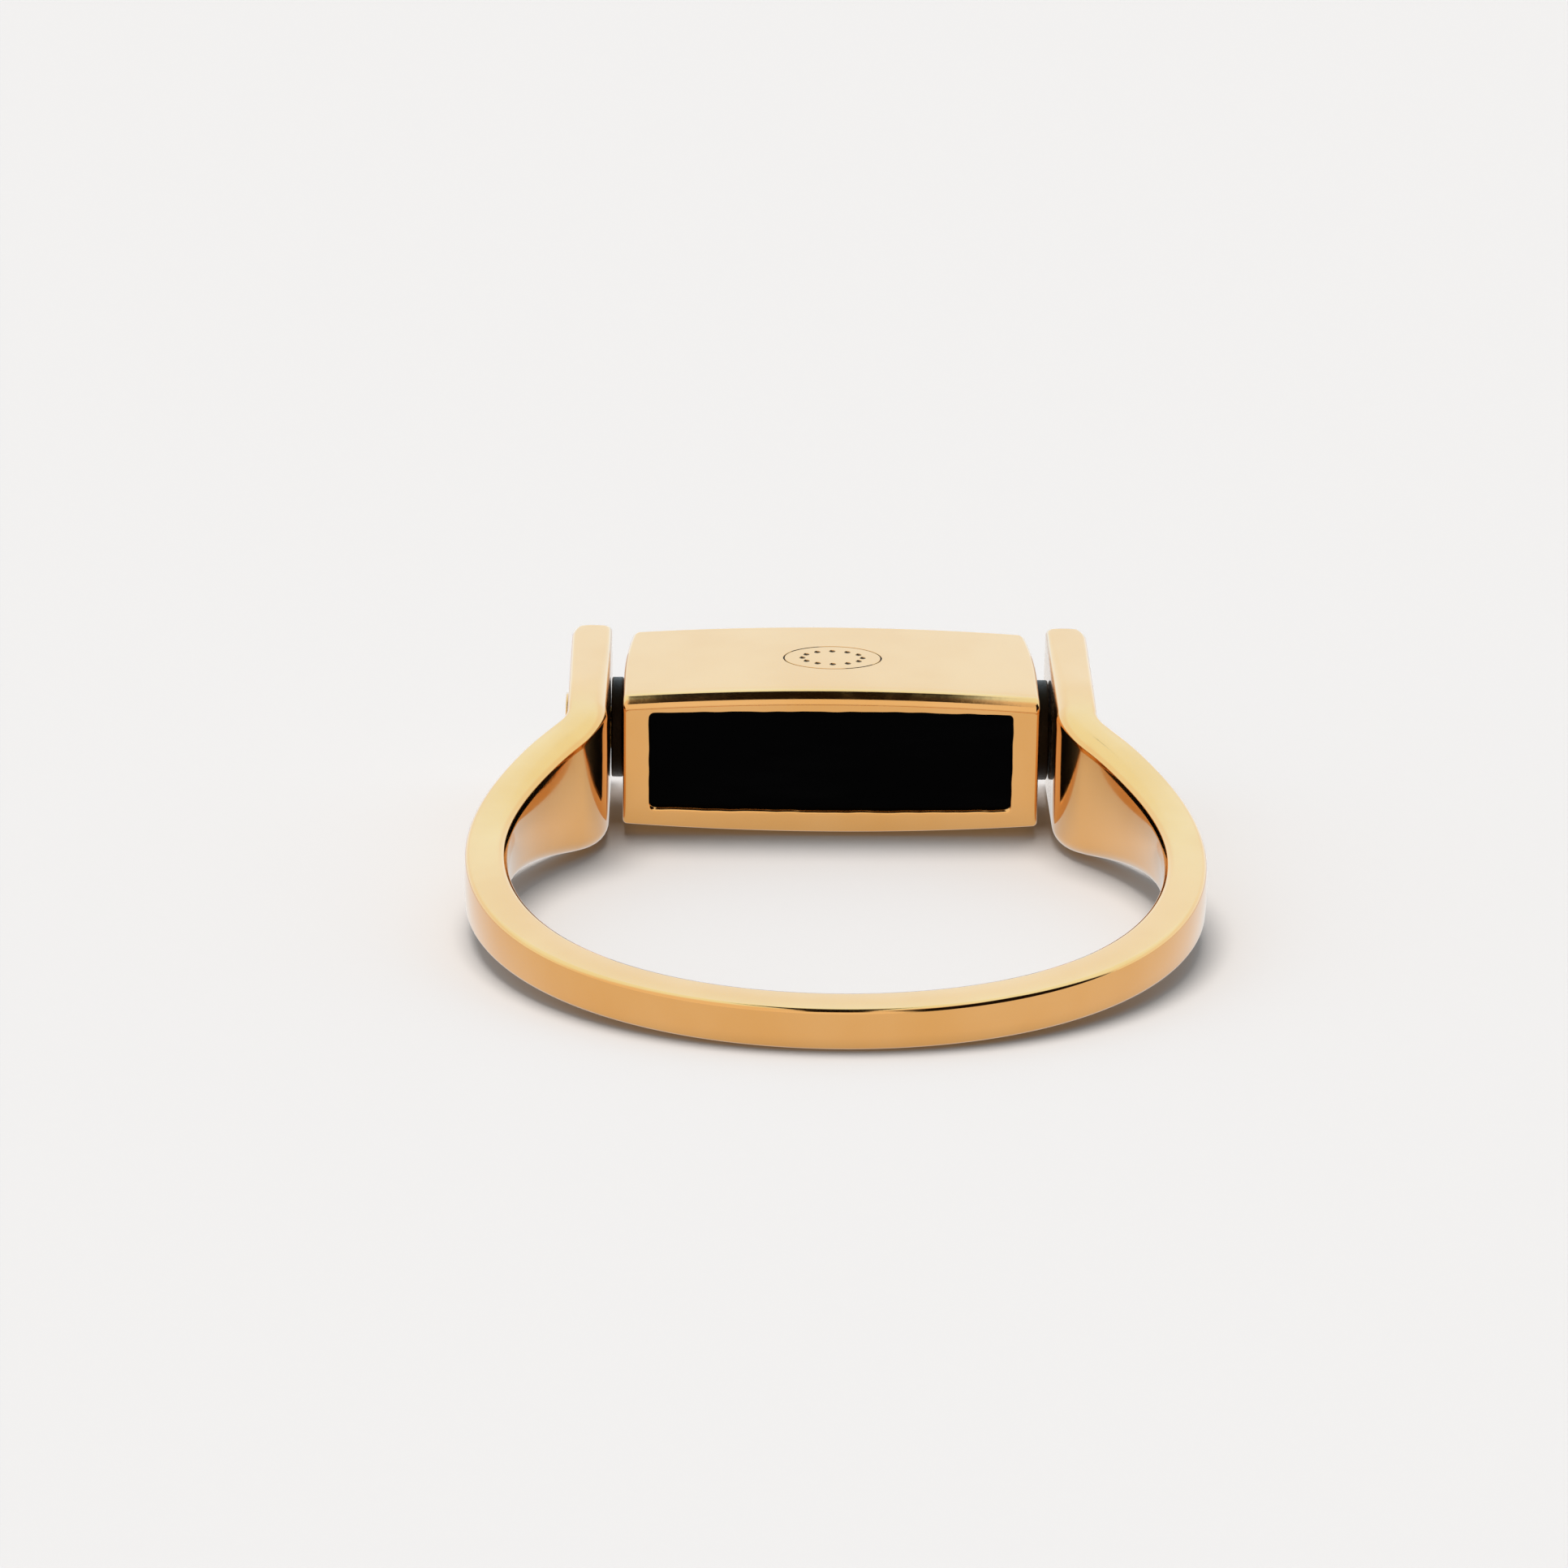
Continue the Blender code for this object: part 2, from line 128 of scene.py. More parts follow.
class Value:
    """A number in a node tree. Arithmetic on it adds the tree's Math nodes."""

    __add__ = adds_math("ADD")
    __radd__ = adds_math("ADD", swapped=True)
    __sub__ = adds_math("SUBTRACT")
    __rsub__ = adds_math("SUBTRACT", swapped=True)
    __mul__ = adds_math("MULTIPLY")
    __rmul__ = adds_math("MULTIPLY", swapped=True)
    __truediv__ = adds_math("DIVIDE")
    __rtruediv__ = adds_math("DIVIDE", swapped=True)
    __pow__ = adds_math("POWER")
    __abs__ = adds_math("ABSOLUTE")
    sin = adds_math("SINE")
    cos = adds_math("COSINE")
    sqrt = adds_math("SQRT")
    sign = adds_math("SIGN")
    least = adds_math("MINIMUM")
    most = adds_math("MAXIMUM")

    def __init__(self, tree: "Tree", socket: bpy.types.NodeSocket) -> None:
        """Wrap an output socket of a tree."""
        self.tree = tree
        self.socket = socket

    def __neg__(self) -> "Value":
        """This with its sign turned."""
        return self * -1.0

    def clamp(self) -> "Value":
        """This kept between 0 and 1."""
        return self.tree.math("ADD", self, 0.0, clamp=True)

    def ease(self) -> "Value":
        """This kept between 0 and 1, with a level start and end."""
        held = self.clamp()
        return held * held * (3.0 - 2.0 * held)

    def step(self, low: float, high: float) -> "Value":
        """An eased step from 0 at one value of this to 1 at another."""
        return ((self - low) / (high - low)).ease()


class Tree:
    """A node tree with one method for its nodes and one for its arithmetic."""

    def __init__(self, nodes: bpy.types.NodeTree) -> None:
        """Wrap a node tree."""
        self.nodes = nodes

    def node(self, kind: str, settings: dict[str, Any] | None = None,
             inputs: dict[Any, Any] | None = None) -> bpy.types.Node:
        """Add a node.

        Args:
            kind: The node's type.
            settings: Properties, which are set before the sockets.
            inputs: Values, sockets or wrapped numbers by socket name or position.

        Returns:
            The new node.
        """
        node = self.nodes.nodes.new(kind)
        for name, value in (settings or {}).items():
            setattr(node, name, value)
        for key, value in (inputs or {}).items():
            self.feed(node.inputs[key], value)
        return node

    def feed(self, socket: bpy.types.NodeSocket, value: Any) -> None:
        """Link a socket to another, or set it to a plain value."""
        if isinstance(value, Value):
            value = value.socket
        if isinstance(value, bpy.types.NodeSocket):
            self.nodes.links.new(value, socket)
        elif isinstance(value, tuple) and len(value) == 3 and socket.type == "RGBA":
            socket.default_value = (*value, 1.0)
        else:
            socket.default_value = value

    def math(self, operation: str, *values: Number, clamp: bool = False) -> Value:
        """Add a Math node.

        Args:
            operation: The node's operation.
            values: One number or more, plain or wrapped.
            clamp: Whether the result is kept between 0 and 1.

        Returns:
            The node's result.
        """
        node = self.node("ShaderNodeMath", {"operation": operation, "use_clamp": clamp},
                         dict(enumerate(values)))
        return Value(self, node.outputs[0])

    def combine(self, x: Number, y: Number, z: Number) -> bpy.types.NodeSocket:
        """Put three numbers together as a vector."""
        return self.node("ShaderNodeCombineXYZ", {}, {0: x, 1: y, 2: z}).outputs[0]

    def separate(self, vector: bpy.types.NodeSocket) -> tuple[Value, Value, Value]:
        """Split a vector into its three numbers."""
        outputs = self.node("ShaderNodeSeparateXYZ", {}, {0: vector}).outputs
        return Value(self, outputs[0]), Value(self, outputs[1]), Value(self, outputs[2])


class ShaderTree(Tree):
    """A material's or the world's node tree."""

    def place(self) -> bpy.types.NodeSocket:
        """Object coordinates, in metres."""
        return self.node("ShaderNodeTexCoord").outputs["Object"]

    def stretched(self, vector: bpy.types.NodeSocket, turn: tuple, scale: tuple) -> bpy.types.NodeSocket:
        """Turn and then scale a vector."""
        return self.node("ShaderNodeMapping", {}, {"Vector": vector, "Rotation": turn,
                                                   "Scale": scale}).outputs[0]

    def noise(self, vector: bpy.types.NodeSocket, size: float, detail: float = 2.0,
              roughness: float = 0.5) -> Value:
        """Smooth noise around 0.5 whose features are about one size, in metres."""
        node = self.node("ShaderNodeTexNoise", {}, {"Vector": vector, "Scale": 1.0 / size,
                                                    "Detail": detail, "Roughness": roughness})
        return Value(self, node.outputs["Fac"])

    def mix(self, share: Number, first: Any, second: Any) -> bpy.types.NodeSocket:
        """Blend two colours."""
        node = self.node("ShaderNodeMix", {"data_type": "RGBA"})
        for socket, value in zip((node.inputs[0], node.inputs[6], node.inputs[7]),
                                 (share, first, second)):
            self.feed(socket, value)
        return node.outputs[2]

    def bump(self, height: Value, distance: float) -> bpy.types.NodeSocket:
        """A normal from a height, where a height of 1 stands for a distance in metres."""
        return self.node("ShaderNodeBump", {}, {"Strength": 1.0, "Distance": distance,
                                                "Height": height}).outputs[0]


class MeshRecipe(Tree):
    """A Geometry Nodes tree that makes a mesh from named sizes."""

    def __init__(self, name: str, sizes: dict[str, float]) -> None:
        """Start a tree.

        Args:
            name: The tree's name.
            sizes: Each named input with its value, in metres, radians or plain counts.
        """
        super().__init__(bpy.data.node_groups.new(name, "GeometryNodeTree"))
        self.name = name
        self.sizes = sizes
        self.sockets = {}
        for size in sizes:
            socket = self.nodes.interface.new_socket(size, in_out="INPUT", socket_type="NodeSocketFloat")
            self.sockets[size] = socket.identifier
        self.nodes.interface.new_socket("Geometry", in_out="OUTPUT", socket_type="NodeSocketGeometry")
        self.given = self.node("NodeGroupInput")

    def size(self, name: str) -> Value:
        """A named input of the tree."""
        return Value(self, self.given.outputs[name])

    def finish(self, geometry: bpy.types.NodeSocket, material: bpy.types.Material) -> bpy.types.Mesh:
        """End the tree and turn its result into a plain mesh.

        Args:
            geometry: What the tree has made.
            material: The material that its last node sets.

        Returns:
            The mesh, with no modifier left.
        """
        realized = self.node("GeometryNodeRealizeInstances", {}, {"Geometry": geometry})
        dressed = self.node("GeometryNodeSetMaterial", {}, {"Geometry": realized.outputs[0],
                                                            "Material": material})
        self.node("NodeGroupOutput", {}, {0: dressed.outputs[0]})
        carrier = bpy.data.objects.new(self.name, bpy.data.meshes.new(self.name))
        bpy.context.scene.collection.objects.link(carrier)
        modifier = carrier.modifiers.new("recipe", "NODES")
        modifier.node_group = self.nodes
        for size, value in self.sizes.items():
            modifier[self.sockets[size]] = float(value)
        bpy.context.view_layer.update()
        graph = bpy.context.evaluated_depsgraph_get()
        mesh = bpy.data.meshes.new_from_object(carrier.evaluated_get(graph))
        bpy.data.objects.remove(carrier, do_unlink=True)
        return mesh


# ---------------------------------------------------------------------------------------------
# Finishes
# ---------------------------------------------------------------------------------------------


@dataclass(frozen=True)
class Gold:
    """A gold finish, from mirror polish to a plain turned or cast surface."""

    name: str
    colour: tuple[float, float, float] = (0.80, 0.40, 0.105)
    pale: tuple[float, float, float] = (0.83, 0.44, 0.14)
    roughness: float = 0.085
    coat: float = 0.85
    wave: float = 2.2 * MICRON
    wave_size: float = 2.6 * MM
    ripple: float = 0.35 * MICRON
    ripple_size: float = 0.16 * MM
    scratch: float = 0.04 * MICRON
    grain: float = 0.0
    grain_size: float = 0.05 * MM
    unpolished_grain: float = 5.0 * MICRON
    unpolished_colour: tuple[float, float, float] = (0.66, 0.50, 0.36)
    cut_colour: tuple[float, float, float] = (0.07, 0.04, 0.015)
    smudge_haze: float = 0.05
    scratch_haze: float = 0.03
    grain_haze: float = 0.28
    cut_haze: float = 0.3

    def mask(self, tree: ShaderTree, place: bpy.types.NodeSocket) -> Value | None:
        """Where the surface is left unpolished, from 0 to 1, or None where it's all alike."""
        return None

    def engraving(self, tree: ShaderTree, place: bpy.types.NodeSocket) -> Value | None:
        """Where the surface is cut and darkened, from 0 to 1, or None."""
        return None

    def material(self) -> bpy.types.Material:
        """Build the finish's material."""
        material = bpy.data.materials.new(self.name)
        material.use_nodes = True
        tree = ShaderTree(material.node_tree)
        shader = material.node_tree.nodes["Principled BSDF"]
        place = tree.place()
        clouds = tree.noise(place, 3.2 * MM, detail=3.0)
        smudges = tree.noise(place, 0.9 * MM, detail=4.0, roughness=0.6)
        scratches = self._scratches(tree, place)
        swell = tree.noise(place, self.wave_size, detail=1.0)
        colour = tree.mix(clouds.step(0.3, 0.7), self.colour, self.pale)
        haze = self.smudge_haze * smudges.step(0.45, 0.75) + self.scratch_haze * scratches
        roughness = self.roughness + haze
        ripples = tree.noise(place, self.ripple_size, detail=2.0)
        height = swell * self.wave + ripples * self.ripple + scratches * self.scratch
        rough_part = self.mask(tree, place)
        if rough_part is not None or self.grain:
            share: Number = 1.0 if rough_part is None else rough_part
            grains = tree.noise(place, self.grain_size, detail=3.0, roughness=0.65)
            height = height + grains * (self.grain or self.unpolished_grain) * share
            roughness = roughness + self.grain_haze * share * grains.step(0.2, 0.8)
            if rough_part is not None:
                colour = tree.mix(rough_part * 0.75, colour, self.unpolished_colour)
        cut = self.engraving(tree, place)
        if cut is not None:
            colour = tree.mix(cut * 0.92, colour, self.cut_colour)
            roughness = roughness + self.cut_haze * cut
        tree.feed(shader.inputs["Base Color"], colour)
        tree.feed(shader.inputs["Roughness"], roughness)
        tree.feed(shader.inputs["Normal"], tree.bump(height * (1.0 / MICRON), MICRON))
        shader.inputs["Metallic"].default_value = 1.0
        shader.inputs["Coat Weight"].default_value = self.coat
        shader.inputs["Coat Roughness"].default_value = 0.03
        shader.inputs["Coat IOR"].default_value = 1.5
        return material

    @staticmethod
    def _scratches(tree: ShaderTree, place: bpy.types.NodeSocket) -> Value:
        """Fine polishing lines that run in two directions, from 0 to 1."""
        lines = []
        for turn, scale in (((0.0, 0.0, 0.5), (1.0, 0.05, 1.0)), ((0.3, 0.2, -0.9), (0.04, 1.0, 1.0))):
            drawn = tree.stretched(place, turn, scale)
            lines.append(tree.noise(drawn, 0.03 * MM, detail=2.0).step(0.62, 0.72))
        return lines[0].most(lines[1])


@dataclass(frozen=True)
class ShankGold(Gold):
    """Polished gold that stays as cast on the ears' inner faces, where no wheel reaches."""

    face_x: float = 6.12 * MM
    face_start_y: float = 7.4 * MM

    def mask(self, tree: ShaderTree, place: bpy.types.NodeSocket) -> Value:
        """The inner faces of the two ears."""
        x, y, _ = tree.separate(place)
        near = 1.0 - abs(x).step(self.face_x + 0.03 * MM, self.face_x + 0.10 * MM)
        return near * y.step(self.face_start_y, self.face_start_y + 0.8 * MM)


@dataclass(frozen=True)
class HeadGold(Gold):
    """Polished gold with the darkened cuts of the little engraving on the head's upper side."""

    top_z: float = 2.08 * MM
    bow_radius: float = 78.8 * MM
    end_x: float = 5.75 * MM

    def mask(self, tree: ShaderTree, place: bpy.types.NodeSocket) -> Value:
        """The two end faces, which only get a quick rub."""
        x, _, _ = tree.separate(place)
        return 0.5 * abs(x).step(self.end_x - 0.05 * MM, self.end_x - 0.01 * MM)

    def engraving(self, tree: ShaderTree, place: bpy.types.NodeSocket) -> Value:
        """What lies a little below the upper side's bowed surface, round the motif."""
        x, y, z = tree.separate(place)
        surface = self.top_z - x * x * (0.5 / self.bow_radius)
        depth = (surface - z).step(6.0 * MICRON, 16.0 * MICRON)
        shallow = 1.0 - (surface - z).step(60.0 * MICRON, 90.0 * MICRON)
        across = 1.0 - abs(x).step(1.5 * MM, 1.7 * MM)
        along = 1.0 - abs(y - 10.45 * MM).step(1.0 * MM, 1.2 * MM)
        return depth * shallow * across * along


@dataclass(frozen=True)
class Onyx:
    """Black stone with a soft polish."""

    name: str = "onyx"
    colour: tuple[float, float, float] = (0.0004, 0.0004, 0.0005)

    def material(self) -> bpy.types.Material:
        """Build the stone's material."""
        material = bpy.data.materials.new(self.name)
        material.use_nodes = True
        tree = ShaderTree(material.node_tree)
        shader = material.node_tree.nodes["Principled BSDF"]
        place = tree.place()
        banding = tree.noise(tree.stretched(place, (0.2, 0.1, 0.3), (0.25, 1.0, 1.0)), 0.8 * MM, 3.0)
        pores = tree.noise(place, 0.04 * MM, detail=2.0)
        tree.feed(shader.inputs["Base Color"],
                  tree.mix(banding.step(0.45, 0.8), self.colour, (0.0012, 0.0012, 0.0014)))
        tree.feed(shader.inputs["Roughness"], 0.06 + 0.06 * banding + 0.1 * pores.step(0.7, 0.8))
        tree.feed(shader.inputs["Normal"], tree.bump(pores.step(0.68, 0.8), 0.3 * MICRON))
        shader.inputs["Specular IOR Level"].default_value = 0.012
        shader.inputs["IOR"].default_value = 1.53
        return material


@dataclass(frozen=True)
class Paper:
    """The pale matt ground that the ring lies on. Reflections see mostly a painted, shadowless glow in
    place of the lit ground.
    """

    name: str = "pale_ground"
    colour: tuple[float, float, float] = (0.368, 0.3575, 0.3485)
    painted_reflection_glow: tuple[float, float, float] = (0.86, 0.85, 0.83)
    painted_reflection_share: float = 0.75

    def material(self) -> bpy.types.Material:
        """Build the ground's material."""
        material = bpy.data.materials.new(self.name)
        material.use_nodes = True
        tree = ShaderTree(material.node_tree)
        shader = material.node_tree.nodes["Principled BSDF"]
        place = tree.place()
        fibres = tree.noise(place, 0.3 * MM, detail=3.0)
        brighter = tuple(channel * 1.004 for channel in self.colour)
        tree.feed(shader.inputs["Base Color"], tree.mix(fibres, self.colour, brighter))
        shader.inputs["Roughness"].default_value = 0.9
        shader.inputs["Specular IOR Level"].default_value = 0.0
        # Painted reflection: rays reflected off the gold see mostly this even, shadowless glow instead of
        # the shaded ground, so no contact shadow shows in the gold.
        glow = tree.node("ShaderNodeEmission", {}, {"Color": (*self.painted_reflection_glow, 1.0), "Strength": 1.0})
        mirrored = Value(tree, tree.node("ShaderNodeLightPath").outputs["Is Glossy Ray"])
        both = tree.node("ShaderNodeMixShader", {}, {
            0: mirrored * self.painted_reflection_share, 1: shader.outputs[0], 2: glow.outputs[0]})
        tree.feed(material.node_tree.nodes["Material Output"].inputs["Surface"], both.outputs[0])
        return material


# ---------------------------------------------------------------------------------------------
# Mesh tools
# ---------------------------------------------------------------------------------------------


class Loft:
    """Makes closed meshes from rings of points that all have the same count."""

    @staticmethod
    def mesh(name: str, rings: Sequence[Ring], capped: bool = True) -> bpy.types.Mesh:
        """Join rings in turn.

        Args:
            name: The mesh's name.
            rings: The rings, in order.
            capped: Whether each end closes on its own middle. Otherwise the last joins the first.

        Returns:
            A closed mesh whose faces point outwards.
        """
        shape = bmesh.new()
        rows = [[shape.verts.new(point) for point in ring] for ring in rings]
        pairs = list(zip(rows, rows[1:]))
        if not capped:
            pairs.append((rows[-1], rows[0]))
        for near, far in pairs:
            for i in range(len(near)):
                after = (i + 1) % len(near)
                shape.faces.new((near[i], near[after], far[after], far[i]))
        if capped:
            for row in (rows[0], rows[-1]):
                middle = shape.verts.new(sum((v.co for v in row), Vector()) / len(row))
                for i in range(len(row)):
                    shape.faces.new((row[i], row[(i + 1) % len(row)], middle))
        mesh = bpy.data.meshes.new(name)
        shape.to_mesh(mesh)
        shape.free()
        return Loft.tidied(mesh)

    @staticmethod
    def tidied(mesh: bpy.types.Mesh, weld: float = 0.2 * MICRON) -> bpy.types.Mesh:
        """Weld doubled points and turn the faces outwards."""
        shape = bmesh.new()
        shape.from_mesh(mesh)
        bmesh.ops.remove_doubles(shape, verts=shape.verts, dist=weld)
        bmesh.ops.dissolve_degenerate(shape, edges=shape.edges, dist=weld)
        bmesh.ops.recalc_face_normals(shape, faces=shape.faces)
        shape.to_mesh(mesh)
        shape.free()
        return mesh

    @staticmethod
    def turned(name: str, profile: Sequence[tuple[float, float]], pivot_y: float,
               capped: bool, steps: int = 96) -> bpy.types.Mesh:
        """Turn a profile about the pivot's line.

        Args:
            name: The mesh's name.
            profile: Points as (x, radius).
            pivot_y: Where the pivot's line crosses the Y axis.
            capped: Whether the ends close on the axis. Otherwise the profile is a closed loop.
            steps: Points round a turn.

        Returns:
            The closed mesh.
        """
        rings = []
        for x, radius in profile:
            turns = [2 * math.pi * i / steps for i in range(steps)]
            rings.append([Vector((x, pivot_y + radius * math.cos(a), radius * math.sin(a)))
                          for a in turns])
        return Loft.mesh(name, rings, capped)

    @staticmethod
    def rounded(points: Sequence[tuple[float, float]], radius: float, steps: int = 4,
                closed: bool = False) -> list[tuple[float, float]]:
        """Round the corners of a profile.

        Args:
            points: The profile's corners.
            radius: Distance from each corner at which its rounding starts.
            steps: Points in each rounding, less one.
            closed: Whether the profile is a loop.

        Returns:
            The rounded profile.
        """
        out: list[tuple[float, float]] = []
        count = len(points)
        for i, corner in enumerate(points):
            if not closed and i in (0, count - 1):
                out.append(corner)
                continue
            here = Vector(corner)
            before = (Vector(points[i - 1]) - here)
            after = (Vector(points[(i + 1) % count]) - here)
            start = here + before.normalized() * min(radius, before.length * 0.45)
            end = here + after.normalized() * min(radius, after.length * 0.45)
            for k in range(steps + 1):
                t = k / steps
                spot = start * (1 - t) ** 2 + here * (2 * t * (1 - t)) + end * t ** 2
                out.append((spot.x, spot.y))
        return out


@dataclass
class Piece:
    """One finished piece of the ring, ready to be shown."""

    name: str
    mesh: bpy.types.Mesh
    finish: bpy.types.Material
    body: Body
    slot: Slot
    stands_for: str

    def show(self) -> bpy.types.Object:
        """Put the piece in the scene and fix it to its body."""
        thing = bpy.data.objects.new(self.name, self.mesh)
        bpy.context.scene.collection.objects.link(thing)
        self.mesh.materials.clear()
        self.mesh.materials.append(self.finish)
        self.mesh.polygons.foreach_set("material_index", [0] * len(self.mesh.polygons))
        self.mesh.shade_smooth()
        self.mesh.set_sharp_from_angle(angle=math.radians(38))
        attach(thing, self.body.value)
        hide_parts(self.stands_for)
        log.info("%s: %d faces on %s", self.name, len(self.mesh.polygons), self.body.value)
        return thing


def cut_away(name: str, mesh: bpy.types.Mesh, tools: Iterable[bpy.types.Mesh]) -> bpy.types.Mesh:
    """Take the shapes of some closed meshes out of another.

    Args:
        name: Name of the result.
        mesh: The closed mesh to cut.
        tools: The closed meshes to take away.

    Returns:
        The cut mesh.
    """
    target = bpy.data.objects.new(name, mesh)
    bpy.context.scene.collection.objects.link(target)
    helpers = []
    for tool in tools:
        helper = bpy.data.objects.new(name + "_tool", tool)
        bpy.context.scene.collection.objects.link(helper)
        helpers.append(helper)
        cut = target.modifiers.new("cut", "BOOLEAN")
        cut.operation = "DIFFERENCE"
        cut.solver = "EXACT"
        cut.object = helper
    bpy.context.view_layer.update()
    graph = bpy.context.evaluated_depsgraph_get()
    result = bpy.data.meshes.new_from_object(target.evaluated_get(graph))
    for thing in helpers + [target]:
        bpy.data.objects.remove(thing, do_unlink=True)
    result.name = name
    return result


# ---------------------------------------------------------------------------------------------
# Shank
# ---------------------------------------------------------------------------------------------


@dataclass
class Shank:
    """The band, its flared shoulders and its two drilled ears, swept as one casting."""

    ear_width: float
    ear_end_y: float
    pivot_y: float
    hole_radius: float = 8.65 * MM
    back_wall: float = 1.22 * MM
    side_wall: float = 1.16 * MM
    back_width: float = 1.13 * MM
    side_width: float = 1.64 * MM
    squareness: float = 0.16 * MM
    flare_blend: float = 0.4
    ear_inner_x: float = 6.12 * MM
    inner_fold: float = 3.2 * MM
    outer_fold: float = 1.1 * MM
    outer_corner: float = 0.34 * MM
    outer_corner_length: float = 0.8 * MM
    inner_corner: float = 0.15 * MM
    outer_edge: float = 0.14 * MM
    inner_edge: float = 0.19 * MM
    fold_edge: float = 0.46 * MM
    ear_edge: float = 0.20 * MM
    end_edge: float = 0.13 * MM
    outer_crown: float = 0.025 * MM
    crown_radius: float = 22.0 * MM
    side_crown: float = 0.012 * MM
    pin_hole: float = 0.62 * MM
    drill_reach: float = 9.0 * MM
    band_steps: int = 150
    fold_steps: int = 72
    ear_steps: int = 26
    corner_steps: int = 16
    section_steps: int = 9
    finish: ShankGold = field(default_factory=lambda: ShankGold("shank_gold"))

    def sizes(self) -> dict[str, float]:
        """The recipe's named inputs: the given sizes, and what follows from them."""
        outer_x = self.ear_inner_x + self.side_wall
        outer_fold_y = self._fold_y(self.hole_radius + self.side_wall, outer_x, self.outer_fold)
        inner_fold_y = self._fold_y(self.hole_radius, self.ear_inner_x, self.inner_fold)
        outer_fold_x = outer_x + self.outer_fold
        inner_fold_x = self.ear_inner_x + self.inner_fold
        outer_angle = math.atan2(outer_fold_x, outer_fold_y)
        inner_angle = math.atan2(inner_fold_x, inner_fold_y)
        band_angle = max(outer_angle, inner_angle)
        straight_y = max(outer_fold_y, inner_fold_y)
        full_angle = math.pi - math.atan2(outer_x, outer_fold_y)
        rise = (self.side_width - self.back_width) / (self.ear_width - self.back_width)
        given = ("hole_radius", "back_wall", "side_wall", "back_width", "ear_width", "squareness",
                 "flare_blend", "inner_fold", "outer_fold", "outer_corner", "outer_corner_length",
                 "inner_corner", "outer_edge", "inner_edge", "fold_edge", "ear_edge", "end_edge",
                 "outer_crown", "crown_radius", "side_crown")
        return {name.replace("_", " "): getattr(self, name) for name in given} | {
            "full angle": full_angle,
            "flare power": math.log(rise) / math.log(math.pi / 2 / full_angle),
            "band turn": math.pi - band_angle,
            "inner lead": band_angle - inner_angle, "outer lead": band_angle - outer_angle,
            "inner start": math.atan2(-inner_fold_y, -inner_fold_x),
            "outer start": math.atan2(-outer_fold_y, -outer_fold_x),
            "inner fold straight": straight_y - inner_fold_y,
            "outer fold straight": straight_y - outer_fold_y,
            "inner straight": self.ear_end_y - self.inner_corner - straight_y,
            "outer straight": self.ear_end_y - self.outer_corner_length - straight_y,
            "ear end": self.ear_end_y,
        }

    @staticmethod
    def _fold_y(circle: float, line_x: float, fold: float) -> float:
        """Height of the centre of the arc that joins the band's circle to an ear's face."""
        return math.sqrt((circle + fold) ** 2 - (line_x + fold) ** 2)

    def _stages(self, walk: Value) -> list[Value]:
        """Shares, from 0 to 1, of the band, fold, ear, back corner and end that are walked."""
        shares = []
        start = 0
        for steps in (self.band_steps, self.fold_steps, self.ear_steps, self.corner_steps, 1):
            shares.append(((walk - float(start)) / float(steps)).clamp())
            start += steps
        return shares

    def _contours(self, recipe: MeshRecipe, stages: list[Value]) -> tuple[Value, Value, Value, Value]:
        """The inner and outer outlines of the right half.

        Args:
            recipe: The shank's recipe.
            stages: The walked shares.

        Returns:
            The inner outline's X and Y, and the outer outline's.
        """
        band, _, ear, corner, _ = stages
        size = recipe.size
        from_back = band * size("band turn")
        thinning = (from_back / (math.pi / 2)).ease()
        wall = size("back wall") + (size("side wall") - size("back wall")) * thinning
        swell = size("squareness") * (1.0 - (4.0 * from_back.least(math.pi / 2)).cos()) * 0.5
        inner_radius = size("hole radius") + swell
        inner_x, inner_y = self._folded(recipe, stages, inner_radius, "inner")
        outer_x, outer_y = self._folded(recipe, stages, inner_radius + wall, "outer")
        rounding = corner * (math.pi / 2)
        outer_x = outer_x + size("outer corner") * (rounding.cos() - 1.0)
        outer_y = outer_y + size("outer straight") * ear + size("outer corner length") * rounding.sin()
        inner_x = inner_x + size("inner corner") * (1.0 - rounding.cos())
        inner_y = inner_y + size("inner straight") * ear + size("inner corner") * rounding.sin()
        return inner_x, inner_y, outer_x, outer_y

    def _folded(self, recipe: MeshRecipe, stages: list[Value], radius: Value,
                line: str) -> tuple[Value, Value]:
        """One outline's way round the band and through the fold.

        Args:
            recipe: The shank's recipe.
            stages: The walked shares.
            radius: The band's radius on this outline.
            line: Which outline, inner or outer.

        Returns:
            Its X and Y.
        """
        size = recipe.size
        start = size(line + " start")
        lead = radius * size(line + " lead")
        bend = size(line + " fold") * (start + math.pi)
        walked = (lead + bend + size(line + " fold straight")) * stages[1]
        led = walked.least(lead) / radius
        bent = ((walked - lead) / bend).clamp()
        straight = (walked - lead - bend).most(0.0)
        angle = math.pi - stages[0] * size("band turn") - led
        turn = start - (start + math.pi) * bent
        x = radius * angle.sin() + size(line + " fold") * (turn.cos() - start.cos())
        y = radius * angle.cos() + size(line + " fold") * (turn.sin() - start.sin()) + straight
        return x, y

    def _half_width(self, recipe: MeshRecipe, middle_x: Value, middle_y: Value) -> Value:
        """Half of the shank's width along Z, which flares from the band's back to the ears."""
        size = recipe.size
        from_back = math.pi - recipe.math("ARCTAN2", abs(middle_x), middle_y)
        flare = (from_back / size("full angle")) ** size("flare power")
        easing = (size("flare blend") - abs(flare - 1.0)).most(0.0)
        flare = flare.least(1.0) - easing * easing / (4.0 * size("flare blend"))
        return 0.5 * (size("back width") + (size("ear width") - size("back width")) * flare)

